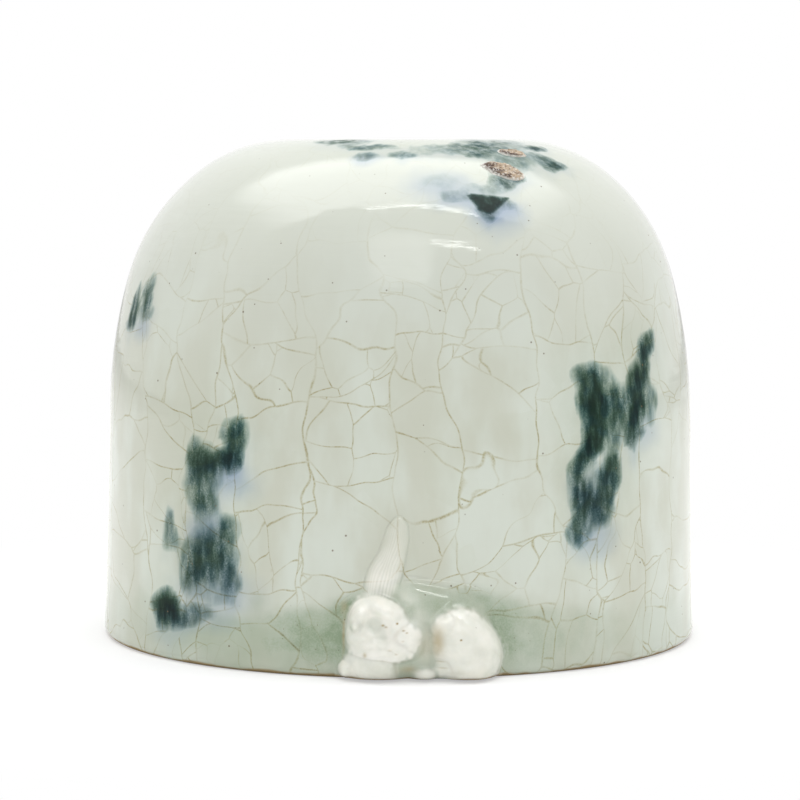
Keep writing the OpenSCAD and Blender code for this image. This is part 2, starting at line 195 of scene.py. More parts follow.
class Dome:
    """Half section of the pot: a leaning wall and three arcs that follow each other without a corner."""

    def __init__(self, pot):
        self.pot = pot
        self.radii = (pot.flank_radius, pot.shoulder_radius, pot.crown_radius)
        self.slopes = (pot.wall_taper, pot.flank_end, pot.shoulder_end, math.pi / 2)
        arcs = list(zip(self.radii, self.slopes, self.slopes[1:]))
        rises = [radius * (math.sin(end) - math.sin(start)) for radius, start, end in arcs]
        self.wall_top = pot.height - sum(rises)
        flank_foot = np.array([self.lean(self.wall_top), self.wall_top])
        self.centres = [flank_foot - self.radii[0] * self.facing(self.slopes[0])]
        for inner, outer, slope in zip(self.radii[1:], self.radii, self.slopes[1:]):
            self.centres.append(self.centres[-1] + (outer - inner) * self.facing(slope))
        wall_length = self.wall_top / math.cos(pot.wall_taper)
        runs = [radius * (end - start) for radius, start, end in arcs]
        self.starts = np.concatenate([[wall_length], wall_length + np.cumsum(runs)])

    @staticmethod
    def facing(slope):
        """Direction square to the wall, as (outward, up)."""
        return np.array([np.cos(slope), np.sin(slope)])

    def lean(self, z, inset=0.0):
        """Radius of the leaning wall at height z, sunk into it by inset."""
        taper = self.pot.wall_taper
        return self.pot.radius - (z - self.pot.edge_radius) * math.tan(taper) - inset / math.cos(taper)

    def arc(self, i, count, inset=0.0):
        """Points of arc i, sunk into the wall by inset."""
        slopes = np.linspace(self.slopes[i], self.slopes[i + 1], count)
        return [self.centres[i] + (self.radii[i] - inset) * self.facing(slope) for slope in slopes]

    def slope(self, run):
        """Slope of the wall at a length run along the profile from the foot plane."""
        run = np.asarray(run, float)
        slope = np.full(run.shape, self.slopes[0])
        for start, first, radius in zip(self.starts, self.slopes, self.radii):
            slope = np.where(run > start, first + (run - start) / radius, slope)
        return slope

    def point(self, run):
        """Radius and height of the wall at a length run along the profile."""
        run = np.asarray(run, float)
        z = run * math.cos(self.pot.wall_taper)
        r = self.lean(z)
        slope = self.slope(run)
        for i in range(3):
            past = run > self.starts[i]
            r = np.where(past, self.centres[i][0] + self.radii[i] * np.cos(slope), r)
            z = np.where(past, self.centres[i][1] + self.radii[i] * np.sin(slope), z)
        return r, z

    def run_at(self, z):
        """Length along the profile at which the wall has height z."""
        runs = np.linspace(0, self.starts[-1], 2000)
        return float(np.interp(z, self.point(runs)[1], runs))

    def run_of(self, r, z):
        """Length along the profile of points on or near the outside."""
        run = z / math.cos(self.pot.wall_taper)
        for i in range(3):
            slope = np.arctan2(z - self.centres[i][1], r - self.centres[i][0])
            past = (z > self.wall_top) & (slope > self.slopes[i])
            run = np.where(past, self.starts[i] + self.radii[i] * (slope - self.slopes[i]), run)
        return run

    def on_wall(self, turn, run, across, along, raised):
        """Points that lie across and along the wall from a place on it, raised off it."""
        r, z = self.point(run + along)
        slope = self.slope(run + along)
        reach = r + raised * np.cos(slope)
        turn = turn + across / self.point(run)[0]
        return np.stack([reach * np.sin(turn), -reach * np.cos(turn), z + raised * np.sin(slope)], axis=-1)

    def section(self):
        """Points of the half section, from the middle of the recess round to the middle of the floor."""
        pot = self.pot
        recess = pot.radius - pot.edge_radius - pot.foot_width
        corner = 0.5 * MM
        floor_z = pot.foot_recess + pot.floor
        lip = pot.wall / 2
        lip_ring = pot.mouth_radius + lip
        foot = self.lean(0) - pot.edge_radius

        def bend(r, z, radius, start, end, count):
            turns = np.radians(np.linspace(start, end, count))
            return [np.array([r + radius * math.cos(turn), z + radius * math.sin(turn)]) for turn in turns]

        def line(start, end, count):
            steps = np.linspace(0, 1, count + 2)[1:-1]
            return [np.array(start) + (np.array(end) - np.array(start)) * step for step in steps]

        under = [np.array([0.0, pot.foot_recess])]
        under += line((0, pot.foot_recess), (recess - corner, pot.foot_recess), 14)
        under += bend(recess - corner, pot.foot_recess - corner, corner, 90, 0, 5)
        under += bend(recess + corner, corner, corner, 180, 270, 5)
        under += line((recess + corner, 0), (foot, 0), 4)
        outer = bend(foot, pot.edge_radius, pot.edge_radius, -90, 0, 9)
        wall_foot = (self.lean(pot.edge_radius), pot.edge_radius)
        outer += line(wall_foot, (self.lean(self.wall_top), self.wall_top), 52)
        outer += self.arc(0, 34) + self.arc(1, 34)[1:] + self.arc(2, 28)[1:]
        mouth = bend(lip_ring, pot.height - lip, lip, 90, 270, 17)
        inner = self.arc(2, 18, pot.wall)[::-1] + self.arc(1, 16, pot.wall)[::-1][1:]
        inner += self.arc(0, 12, pot.wall)[::-1][1:]
        hollow_z = floor_z + pot.hollow_radius
        hollow_r = self.lean(hollow_z, pot.wall) - pot.hollow_radius
        inner_top = (self.lean(self.wall_top, pot.wall), self.wall_top)
        inner += line(inner_top, (hollow_r + pot.hollow_radius, hollow_z), 12)
        inner += bend(hollow_r, hollow_z, pot.hollow_radius, 0, -90, 12)
        inner += line((hollow_r, floor_z), (0, floor_z), 16) + [np.array([0.0, floor_z])]
        return under + outer + mouth + inner


# Nodes


class Nodes:
    """Adds nodes to a tree and joins them."""

    def __init__(self, tree):
        self.tree = tree

    def add(self, kind, values=None, **settings):
        node = self.tree.nodes.new(kind)
        for name, value in settings.items():
            setattr(node, name, value)
        self.fill(node, values or {})
        return node

    def fill(self, node, values):
        """Sets or links inputs of a node, by their names or numbers."""
        for key, value in values.items():
            self.feed(node.inputs[key], value)

    def feed(self, socket, value):
        if isinstance(value, bpy.types.NodeSocket):
            self.tree.links.new(value, socket)
        else:
            socket.default_value = value

    def math(self, operation, *values):
        return self.add("ShaderNodeMath", dict(enumerate(values)), operation=operation).outputs[0]

    def times(self, *values):
        """Product of two or more values."""
        product = values[0]
        for value in values[1:]:
            product = self.math("MULTIPLY", product, value)
        return product

    def vector(self, operation, *values):
        scaled = operation == "SCALE"
        inputs = {0: values[0], "Scale": values[1]} if scaled else dict(enumerate(values))
        node = self.add("ShaderNodeVectorMath", inputs, operation=operation)
        return node.outputs["Value" if operation in ("LENGTH", "DOT_PRODUCT") else "Vector"]

    def ramp(self, value, start, end, low=0.0, high=1.0):
        """Smooth step of a value from low at start to high at end."""
        inputs = {"Value": value, "From Min": start, "From Max": end, "To Min": low, "To Max": high}
        return self.add("ShaderNodeMapRange", inputs, interpolation_type="SMOOTHSTEP").outputs["Result"]

    def noise(self, position, size, detail=2.0, output="Fac"):
        """Cloudy noise with lumps of about this size."""
        inputs = {"Vector": position, "Scale": 1 / size, "Detail": detail}
        return self.add("ShaderNodeTexNoise", inputs).outputs[output]

    def cells(self, position, size, feature="F1"):
        """Distance, colour and place of the nearest of many scattered points about this far apart."""
        inputs = {"Vector": position, "Scale": 1 / size}
        return self.add("ShaderNodeTexVoronoi", inputs, feature=feature).outputs

    def mix(self, factor, low, high):
        """Colour between two colours, whose sockets on a Mix node are numbers 6, 7 and 2."""
        node = self.add("ShaderNodeMix", {0: factor, 6: low, 7: high}, data_type="RGBA")
        return node.outputs[2]

    def join(self, x, y, z):
        return self.add("ShaderNodeCombineXYZ", {0: x, 1: y, 2: z}).outputs[0]

    def split(self, vector):
        return self.add("ShaderNodeSeparateXYZ", {0: vector}).outputs

    def channels(self, colour):
        return self.add("ShaderNodeSeparateColor", {0: colour}).outputs

    def mark(self, label):
        """A value that the mesh carries at each point."""
        return self.add("ShaderNodeAttribute", attribute_name=label).outputs["Fac"]

    def group(self, tree, values):
        """Outputs of a placed node group, by its sockets' names."""
        return self.add("ShaderNodeGroup", values, node_tree=tree).outputs


def new_tree(name, inputs, outputs, kind="ShaderNodeTree"):
    """A node tree with named sockets, its nodes, and the inside ends of those sockets."""
    tree = bpy.data.node_groups.new(name, kind)
    for way, sockets in (("INPUT", inputs), ("OUTPUT", outputs)):
        for label, socket in sockets.items():
            tree.interface.new_socket(label, in_out=way, socket_type="NodeSocket" + socket)
    nodes = Nodes(tree)
    return nodes, nodes.add("NodeGroupInput").outputs, nodes.add("NodeGroupOutput").inputs


def shared(build):
    """Builds a node group the first time and hands out the same one after that."""
    made = {}

    def get(*given):
        if "tree" not in made:
            made["tree"] = build(*given)
        return made["tree"]
    return get


def thrown_pot_tree():
    """Turns a half section about the upright axis and lets the wall stray from a true round."""
    nodes, given, result = new_tree(
        "Thrown pot",
        {
            "Section": "Object", "Segments": "Int", "Sway": "Float", "Ripple": "Float", "Crown Dip": "Float",
            "Height": "Float", "Radius": "Float", "Seed": "Float", "Clay": "Material",
        },
        {"Pot": "Geometry"},
        "GeometryNodeTree",
    )
    axis_radius = 1e-6
    section = nodes.add("GeometryNodeObjectInfo", {"Object": given["Section"]}).outputs["Geometry"]
    rail = nodes.add(
        "GeometryNodeCurvePrimitiveCircle", {"Resolution": given["Segments"], "Radius": axis_radius}
    ).outputs["Curve"]
    turned = nodes.add("GeometryNodeCurveToMesh", {"Curve": rail, "Profile Curve": section}).outputs["Mesh"]
    closed = nodes.add("GeometryNodeMergeByDistance", {"Geometry": turned, "Distance": 5 * axis_radius})
    place = nodes.add("GeometryNodeInputPosition").outputs[0]
    across, back, up = nodes.split(place)
    outward = nodes.vector("NORMALIZE", nodes.join(across, back, 0.0))
    seeded = nodes.vector("ADD", place, nodes.join(given["Seed"], 0.0, 0.0))

    def stray(size, amount):
        """Chance rise and fall of about this amount, in lumps of this size."""
        lumps = nodes.math("SUBTRACT", nodes.noise(seeded, size), 0.5)
        return nodes.times(lumps, amount, 4.0)

    above_beast = nodes.ramp(up, 12 * MM, 34 * MM)
    strayed = nodes.math("ADD", stray(45 * MM, given["Sway"]), stray(9 * MM, given["Ripple"]))
    swayed = nodes.vector("SCALE", outward, nodes.times(strayed, above_beast))
    height_share = nodes.math("DIVIDE", up, given["Height"])
    leaning = nodes.times(nodes.math("DIVIDE", across, given["Radius"]), given["Crown Dip"])
    dipped = nodes.join(0.0, 0.0, nodes.times(leaning, nodes.ramp(height_share, 0.6, 0.95)))
    moved = nodes.add(
        "GeometryNodeSetPosition",
        {"Geometry": closed.outputs[0], "Offset": nodes.vector("ADD", swayed, dipped)},
    )
    smooth = nodes.add("GeometryNodeSetShadeSmooth", {"Geometry": moved.outputs[0]})
    real = nodes.add("GeometryNodeRealizeInstances", {"Geometry": smooth.outputs[0]})
    glazed = nodes.add("GeometryNodeSetMaterial", {"Geometry": real.outputs[0], "Material": given["Clay"]})
    nodes.feed(result["Pot"], glazed.outputs[0])
    return nodes.tree


@shared
def craze_level():
    """Distance on the surface to the nearest edge between two cells of a given size."""
    nodes, given, result = new_tree(
        "Craze level",
        {"Position": "Vector", "Normal": "Vector", "Cell": "Vector", "Shift": "Vector"},
        {"Distance": "Float", "Pick": "Color"},
    )
    spot = nodes.vector("ADD", nodes.vector("DIVIDE", given["Position"], given["Cell"]), given["Shift"])
    near, far = [nodes.cells(spot, 1.0, feature) for feature in ("F1", "F2")]
    squares = [nodes.times(cell["Distance"], cell["Distance"]) for cell in (far, near)]
    between = nodes.vector("SUBTRACT", near["Position"], far["Position"])
    climb = nodes.vector("DIVIDE", nodes.vector("SCALE", between, 2.0), given["Cell"])
    off_surface = nodes.vector("SCALE", given["Normal"], nodes.vector("DOT_PRODUCT", climb, given["Normal"]))
    slope = nodes.vector("LENGTH", nodes.vector("SUBTRACT", climb, off_surface))
    gap = nodes.math("DIVIDE", nodes.math("SUBTRACT", *squares), nodes.math("MAXIMUM", slope, 1.0))
    nodes.feed(result["Distance"], gap)
    nodes.feed(result["Pick"], near["Color"])
    return nodes.tree


# Size of the cells in each age of craze lines, and how far a line fades out from its middle
CRAZE_AGES_MM = (((10.5, 10.5, 48), 0.21), ((34, 34, 9.5), 0.195), ((6, 6, 8), 0.165))
# How many cells apart the plates between older cracks take their younger ones from the pattern
PLATES_APART = 40.0


@shared
def craze():
    """Craze lines in three ages, each crack ending on an older one, with the specks that sit on them."""
    nodes, given, result = new_tree(
        "Craze",
        {"Position": "Vector", "Normal": "Vector"},
        {"Line": "Float", "Speck": "Float", "Plate": "Float"},
    )

    def warped(position, size, amount):
        drift = nodes.vector("SUBTRACT", nodes.noise(position, size, 0.0, "Color"), (0.5, 0.5, 0.5))
        return nodes.vector("ADD", position, nodes.vector("SCALE", drift, amount))

    position = warped(warped(given["Position"], 14 * MM, 7 * MM), 3.5 * MM, 1.3 * MM)
    knots = nodes.ramp(nodes.noise(position, 0.9 * MM), 0.35, 0.7, 0.6, 1.15)
    shift, line, plate = (0.0, 0.0, 0.0), 0.0, 0.5
    for age, (cell_mm, reach_mm) in enumerate(CRAZE_AGES_MM):
        cell = [side * MM for side in cell_mm]
        net = nodes.group(
            craze_level(),
            {"Position": position, "Normal": given["Normal"], "Cell": cell, "Shift": shift},
        )
        strength = nodes.ramp(nodes.noise(position, (9 - 2 * age) * MM, 1.0), 0.36, 0.62, 0.25, 1.0)
        drawn = nodes.times(nodes.ramp(net["Distance"], 0.0, reach_mm * MM, 1.0, 0.0), strength, knots)
        youngest = age == len(CRAZE_AGES_MM) - 1
        if youngest:
            drawn = nodes.times(drawn, nodes.ramp(plate, 0.5, 0.6))
        line = nodes.math("MAXIMUM", line, drawn)
        plate = nodes.channels(net["Pick"])[0]
        shift = nodes.vector("SCALE", net["Pick"], PLATES_APART)
    up = nodes.split(given["Position"])[2]
    nodes.feed(result["Line"], nodes.times(line, nodes.ramp(up, 34 * MM, 66 * MM, 1.0, 0.1)))
    dots = nodes.cells(given["Position"], 1.8 * MM)
    dot_size = nodes.ramp(nodes.channels(dots["Color"])[0], 0.45, 1.0, 0.0, 0.1)
    beyond = nodes.math("SUBTRACT", dots["Distance"], dot_size)
    nodes.feed(result["Speck"], nodes.ramp(beyond, -0.05, 0.01, 1.0, 0.0))
    nodes.feed(result["Plate"], plate)
    return nodes.tree


# Values over a sheet


def smooth_step(value, start, end):
    """Smooth step of values from 0 at start to 1 at end."""
    share = np.clip((value - start) / (end - start), 0, 1)
    return share * share * (3 - 2 * share)


LATTICE_KNOTS = 64


def lattice_noise(x, y, size, seed):
    """Smooth noise from -1 to 1 over a sheet, with lumps of this size."""
    knots = np.random.default_rng(seed).uniform(-1, 1, (LATTICE_KNOTS, LATTICE_KNOTS))
    across, along = x / size, y / size
    column, row = np.floor(across).astype(int), np.floor(along).astype(int)
    right, up = smooth_step(across - column, 0, 1), smooth_step(along - row, 0, 1)

    def knot(columns, rows):
        return knots[(column + columns) % LATTICE_KNOTS, (row + rows) % LATTICE_KNOTS]

    low = knot(0, 0) * (1 - right) + knot(1, 0) * right
    high = knot(0, 1) * (1 - right) + knot(1, 1) * right
    return low * (1 - up) + high * up


def spread(shape, x, y, square=2.0):
    """How far out in a shape a point lies: 0 at its middle and 1 at its rim."""
    turn = math.radians(shape.turn)
    dx, dy = x - shape.x, y - shape.y
    across = np.abs(dx * math.cos(turn) + dy * math.sin(turn)) / (shape.wide / 2)
    along = np.abs(dy * math.cos(turn) - dx * math.sin(turn)) / (shape.high / 2)
    return (across**square + along**square) ** (1 / square)


def blended(low, high, soft):
    """Greater of two heights, with a fillet between them."""
    share = np.clip(0.5 + 0.5 * (high - low) / soft, 0, 1)
    return low + (high - low) * share + soft * share * (1 - share)


def soften(field, cells):
    """Blurs a sheet of values over about this many cells."""
    reach = int(3 * cells)
    weights = np.exp(-0.5 * (np.arange(-reach, reach + 1) / cells) ** 2)
    weights /= weights.sum()
    for axis in (0, 1):
        padded = np.pad(field, [(reach, reach) if a == axis else (0, 0) for a in (0, 1)], mode="edge")
        field = np.apply_along_axis(lambda row: np.convolve(row, weights, mode="valid"), axis, padded)
    return field


# Brushed daubs


# Place round the pot and up it, size across and up, lean, depth of colour, share of blue, how much narrower
# it gets downwards and how soft its edge is
Daub = namedtuple(
    "Daub", "turn height_mm wide_mm high_mm lean dark bloom taper edge", defaults=(0.3, 0.0, 0.8)
)
LEFT_DAUBS = (
    Daub(-31.2, 33.4, 5.2, 4.4, 0, 0.7, 0.1),
    Daub(-32.2, 30.4, 4.4, 5.8, 4, 0.75, 0.2),
    Daub(-33.2, 29.0, 3.2, 3.0, 0, 0.3),
    Daub(-36.4, 29.0, 8.8, 4.4, 0, 0.6),
    Daub(-41.6, 29.4, 3.0, 6.8, 0, 0.45, 0.1),
    Daub(-39.4, 26.4, 7.0, 11.4, 0, 0.55, 0.1),
    Daub(-38.9, 22.6, 5.0, 4.8, 0, 0.3, 0.3),
    Daub(-33.2, 27.0, 7.0, 4.4, 0, 0.05, 0.6),
    Daub(-39.0, 19.6, 6.8, 4.0, 0, 0.05, 0.6),
    Daub(-47.6, 17.8, 4.2, 5.0, 0, 0.5, 0.1),
    Daub(-48.6, 20.6, 2.0, 4.4, 0, 0.3),
    Daub(-32.6, 20.0, 5.6, 4.2, 0, 0.45, 0.1),
    Daub(-33.4, 16.8, 4.4, 7.8, 6, 0.5),
    Daub(-32.4, 12.2, 2.8, 4.8, -10, 0.35, 0.3),
    Daub(-38.0, 15.6, 6.2, 7.4, 0, 0.75, 0.2),
    Daub(-42.4, 14.4, 4.6, 8.2, 0, 0.45, 0.2),
    Daub(-36.8, 11.8, 12.8, 6.4, 0, 0.22, 0.5),
)
FOOT_DAUBS = (
    Daub(-48.2, 6.8, 8.4, 4.4, 0, 0.65, 0.2),
    Daub(-48.4, 6.8, 5.4, 3.4, 0, 0.9, 0.1),
    Daub(-48.0, 8.6, 4.8, 3.4, 0, 0.5, 0.1),
    Daub(-42.0, 7.2, 10.6, 3.4, 0, 0.45, 0.5),
    Daub(-48.4, 4.6, 7.6, 3.6, 0, 0.05, 0.15),
)
RIGHT_DAUBS = (
    Daub(37.3, 41.2, 6.2, 3.6, 0, 0.7, 0.1),
    Daub(37.8, 38.8, 5.8, 5.0, 0, 0.65, 0.1),
    Daub(38.4, 35.2, 4.8, 10.0, 0, 1.45, 0.1),
    Daub(37.4, 31.6, 4.0, 4.4, 10, 0.8, 0.1),
    Daub(35.8, 29.2, 3.8, 6.0, 22, 0.85, 0.1),
    Daub(35.0, 26.0, 3.4, 4.0, 0, 0.4, 0.4),
    Daub(43.2, 35.6, 6.4, 12.4, 0, 0.6, 0.1),
    Daub(44.8, 36.8, 2.2, 5.6, 0, 0.45, 0.1),
    Daub(55.6, 44.6, 4.8, 4.2, 0, 0.95, 0.1),
    Daub(57.6, 45.6, 4.4, 3.4, 0, 0.2, 0.1),
    Daub(54.0, 42.2, 4.0, 4.0, 25, 0.75, 0.1),
    Daub(51.8, 40.4, 5.4, 4.2, 10, 0.75, 0.1),
    Daub(50.0, 36.0, 4.6, 9.2, 4, 1.35, 0.2),
    Daub(54.6, 36.6, 5.2, 6.6, 0, 0.4, 0.1),
    Daub(49.0, 31.8, 2.4, 4.0, 0, 0.6, 0.3),
    Daub(42.2, 26.6, 4.4, 6.8, 15, 0.9, 0.1),
    Daub(43.2, 28.9, 3.0, 2.6, 0, 0.4, 0.1),
    Daub(40.0, 22.4, 6.0, 4.8, 20, 0.6, 0.2),
    Daub(35.6, 23.2, 4.2, 5.2, 10, 0.7, 0.2),
    Daub(34.9, 19.6, 4.8, 5.2, 20, 0.6, 0.3),
    Daub(38.8, 25.4, 4.8, 6.0, 10, 0.2, 0.6),
    Daub(53.5, 33.6, 5.6, 4.6, 0, 0.05, 0.3),
    Daub(38.6, 19.2, 6.4, 4.4, 0, 0.1, 0.5),
)
SHOULDER_DAUBS_AND_REFLECTION = (
    Daub(20.6, 64.4, 5.4, 3.6, 0, 0.15, 0.3),
    Daub(19.2, 63.6, 2.0, 3.4, 0, 0.4, 0.4, 0.3, 0.9),
    Daub(24.6, 64.8, 3.4, 2.2, 0, 0.3, 0.3, 0.0, 1.0),
    Daub(21.4, 64.0, 7.2, 5.2, 0, 0.05, 0.7),
    # The next three are the daub seen under the softbox's reflection, painted pale and blue-grey: a painted
    # reflection over the ink.
    Daub(12.6, 65.4, 5.8, 2.8, 0, 0.2, 0.5, 0.0, 0.5),
    Daub(9.6, 67.6, 9.4, 5.6, 10, 0.14, 0.55),
    Daub(23.0, 67.0, 8.0, 3.0, -15, 0.25, 0.3),
    Daub(27.8, 68.0, 5.6, 2.4, 0, 0.6, 0.2),
    Daub(-24.0, 73.2, 9.0, 5.6, 0, 0.55, 0.2),
    Daub(-12.0, 72.3, 9.0, 3.0, 0, 0.5, 0.2),
    Daub(-10.6, 70.9, 4.2, 3.2, 0, 0.35, 0.6),
    Daub(0.0, 71.1, 4.0, 2.4, 0, 0.35, 0.3),
    Daub(10.0, 71.9, 10.0, 4.0, 0, 0.2, 0.2, 0.0, 1.0),
    Daub(26.0, 72.2, 10.0, 5.4, 0, 0.5, 0.2, 0.0, 1.0),
    Daub(24.0, 71.1, 3.4, 1.8, 0, 0.45, 0.2),
    Daub(38.0, 73.0, 12.0, 7.0, 0, 0.45, 0.2, 0.0, 1.0),
    Daub(35.0, 70.6, 10.0, 6.4, -20, 0.35, 0.2, 0.0, 1.0),
    Daub(52.6, 72.2, 5.2, 2.6, 0, 0.8, 0.2),
    Daub(48.4, 70.6, 5.4, 4.0, 20, 0.45, 0.2),
    Daub(49.6, 69.7, 6.0, 2.4, 0, 0.65, 0.2),
)
EDGE_DAUBS = (
    Daub(-61.5, 52.4, 4.2, 3.6, 10, 0.3, 0.1),
    Daub(-62.2, 50.8, 3.0, 2.8, 0, 0.55, 0.1),
    Daub(-61.2, 48.7, 5.6, 3.6, 0, 0.4, 0.3),
    Daub(-67.4, 48.8, 4.0, 7.0, 0, 0.6, 0.1),
    Daub(-68.8, 46.6, 3.8, 3.4, 0, 0.45, 0.2),
    Daub(-62.2, 46.2, 5.4, 3.0, 0, 0.1, 0.6),
)
# Groups on the back, made like those at the front: turn, pattern, rise in mm and which way round
BACK_GROUPS = (
    (115.0, RIGHT_DAUBS, -1.5, -1),
    (172.0, LEFT_DAUBS, 7.0, 1),
    (-118.0, RIGHT_DAUBS, -1.5, -1),
)
# Corners of the one daub with clean edges, as turn and distance in mm down the dome. The clean edges are a
# painted reflection edge: they follow where the softbox's reflection stops over a larger daub, leaving this
# part dark.
UNREFLECTED_WEDGE_CORNERS = ((15.0, 18.6), (27.2, 19.6), (20.4, 22.8), (17.4, 22.0))
# Lumps that make the daubs' outlines stray: their size, and how far they move the outline
STRAYS_MM = ((3.1, 0.9), (1.3, 0.45))


def all_daubs():
    """The daubs that show from the front, and groups like them on the back."""
    back = []
    for turn, pattern, rise_mm, way in BACK_GROUPS:
        middle = sum(daub.turn for daub in pattern) / len(pattern)
        for daub in pattern:
            place = {"turn": turn + way * (daub.turn - middle), "height_mm": daub.height_mm + rise_mm}
            back.append(daub._replace(lean=way * daub.lean, **place))
    return (*LEFT_DAUBS, *FOOT_DAUBS, *RIGHT_DAUBS, *SHOULDER_DAUBS_AND_REFLECTION, *EDGE_DAUBS, *back)


def daub_marks(dome, turn, run, radius):
    """Ink, blue bloom and green haze of every daub at points of the wall, with strayed outlines."""
    x_mm, y_mm = turn * dome.pot.radius / MM, run / MM
    stray_x, stray_y = [
        sum(
            reach * lattice_noise(x_mm, y_mm, size, seed)
            for seed, (size, reach) in enumerate(STRAYS_MM, first)
        )
        for first in (21, 23)
    ]
    ink, blue, haze = np.zeros((3, *turn.shape))
    for daub in all_daubs():
        apart = (turn - math.radians(daub.turn) + math.pi) % (2 * math.pi) - math.pi
        dx = apart * radius / MM + stray_x * daub.edge
        dy = y_mm - dome.run_at(daub.height_mm * MM) / MM + stray_y * daub.edge
        lean = math.radians(daub.lean)
        along = (dy * math.cos(lean) + dx * math.sin(lean)) / (daub.high_mm / 2)
        narrowed = 1 + daub.taper * np.clip(along, -1.3, 1.0)
        across = (dx * math.cos(lean) - dy * math.sin(lean)) / (daub.wide_mm / 2)
        across = across / np.maximum(narrowed, 0.05)
        inner, outer = 1 - 0.95 * daub.edge, 1 + 0.5 * daub.edge
        away = np.hypot(across, along)
        ink += daub.dark * (1 - smooth_step(away, inner, outer))
        haze += daub.dark * (1 - smooth_step(away, 0.8, 3.6))
        below = np.hypot(0.7 * across - 0.1, 0.7 * along + 0.3)
        blue += daub.bloom * (1 - smooth_step(below, 0.0, 1.25))
    return ink, blue, 0.2 * (1 - np.exp(-0.5 * haze))


def unreflected_wedge_depth(dome, turn, run):
    """Distance in from the edges of the clean-edged daub, in millimetres, less than 0 outside it. Those edges
    are painted along the edge of a reflection.
    """
    drop_mm = (dome.starts[-1] - run) / MM
    radius_mm = dome.point(dome.starts[-1] - UNREFLECTED_WEDGE_CORNERS[0][1] * MM)[0] / MM
    inward = []
    for (turn_a, drop_a), (turn_b, drop_b) in zip(UNREFLECTED_WEDGE_CORNERS, UNREFLECTED_WEDGE_CORNERS[1:] + UNREFLECTED_WEDGE_CORNERS[:1]):
        dx, dy = math.radians(turn_b - turn_a) * radius_mm, drop_b - drop_a
        x, y = (turn - math.radians(turn_a)) * radius_mm, drop_mm - drop_a
        inward.append((dx * y - dy * x) / math.hypot(dx, dy))
    return np.clip(np.min(inward, axis=0), -1.0, 1.0)


@shared
def glaze_depth():
    """How thick the glaze lies by the foot, its slow clouds, and where the foot is bare."""
    nodes, given, result = new_tree(
        "Glaze depth",
        {"Position": "Vector"},
        {"Band": "Float", "Thin": "Float", "Cloud": "Float", "Bare": "Float"},
    )
    place = given["Position"]
    across, _, up = nodes.split(place)
    lumps = nodes.noise(place, 6 * MM)
    height = nodes.math("ADD", up, nodes.times(lumps, 9 * MM))
    band = nodes.times(
        nodes.ramp(height, 3 * MM, 9 * MM, 0.4, 1.0),
        nodes.ramp(height, 10 * MM, 15.5 * MM, 1.0, 0.0),
        nodes.ramp(across, -41 * MM, -27 * MM, 0.35, 1.0),
        nodes.ramp(across, -10 * MM, 24 * MM, 0.5, 0.14),
    )
    nodes.feed(result["Band"], band)
    nodes.feed(result["Thin"], nodes.ramp(height, 38 * MM, 72 * MM))
    runs = nodes.vector("MULTIPLY", place, (1.0, 1.0, 0.45))
    nodes.feed(result["Cloud"], nodes.noise(runs, 9 * MM, 4.0))
    edge = nodes.math("ADD", up, nodes.times(nodes.math("SUBTRACT", lumps, 0.5), 1.2 * MM))
    nodes.feed(result["Bare"], nodes.ramp(edge, 0.3 * MM, 0.7 * MM, 1.0, 0.0))
    return nodes.tree


def emptied(owner):
    """Nodes of a material or a world, with none in place yet."""
    owner.use_nodes = True
    owner.node_tree.nodes.clear()
    return Nodes(owner.node_tree)


def new_material(name):
    """A material with an empty Principled shader, and the place and facing that its patterns read."""
    material = bpy.data.materials.new(name)
    nodes = emptied(material)
    shader = nodes.add("ShaderNodeBsdfPrincipled", {"IOR": 1.5})
    nodes.add("ShaderNodeOutputMaterial", {"Surface": shader.outputs[0]})
    spot = nodes.add("ShaderNodeTexCoord").outputs
    return material, nodes, shader, spot["Object"], spot["Normal"]


@shared
def stained():
    """Colour seen through a stain, which takes the same share of it with every unit of depth."""
    nodes, given, result = new_tree(
        "Stained", {"Colour": "Color", "Stain": "Color", "Depth": "Float"}, {"Colour": "Color"}
    )
    left = [nodes.math("POWER", part, given["Depth"]) for part in nodes.channels(given["Stain"])]
    nodes.feed(result["Colour"], nodes.vector("MULTIPLY", given["Colour"], nodes.join(*left)))
    return nodes.tree


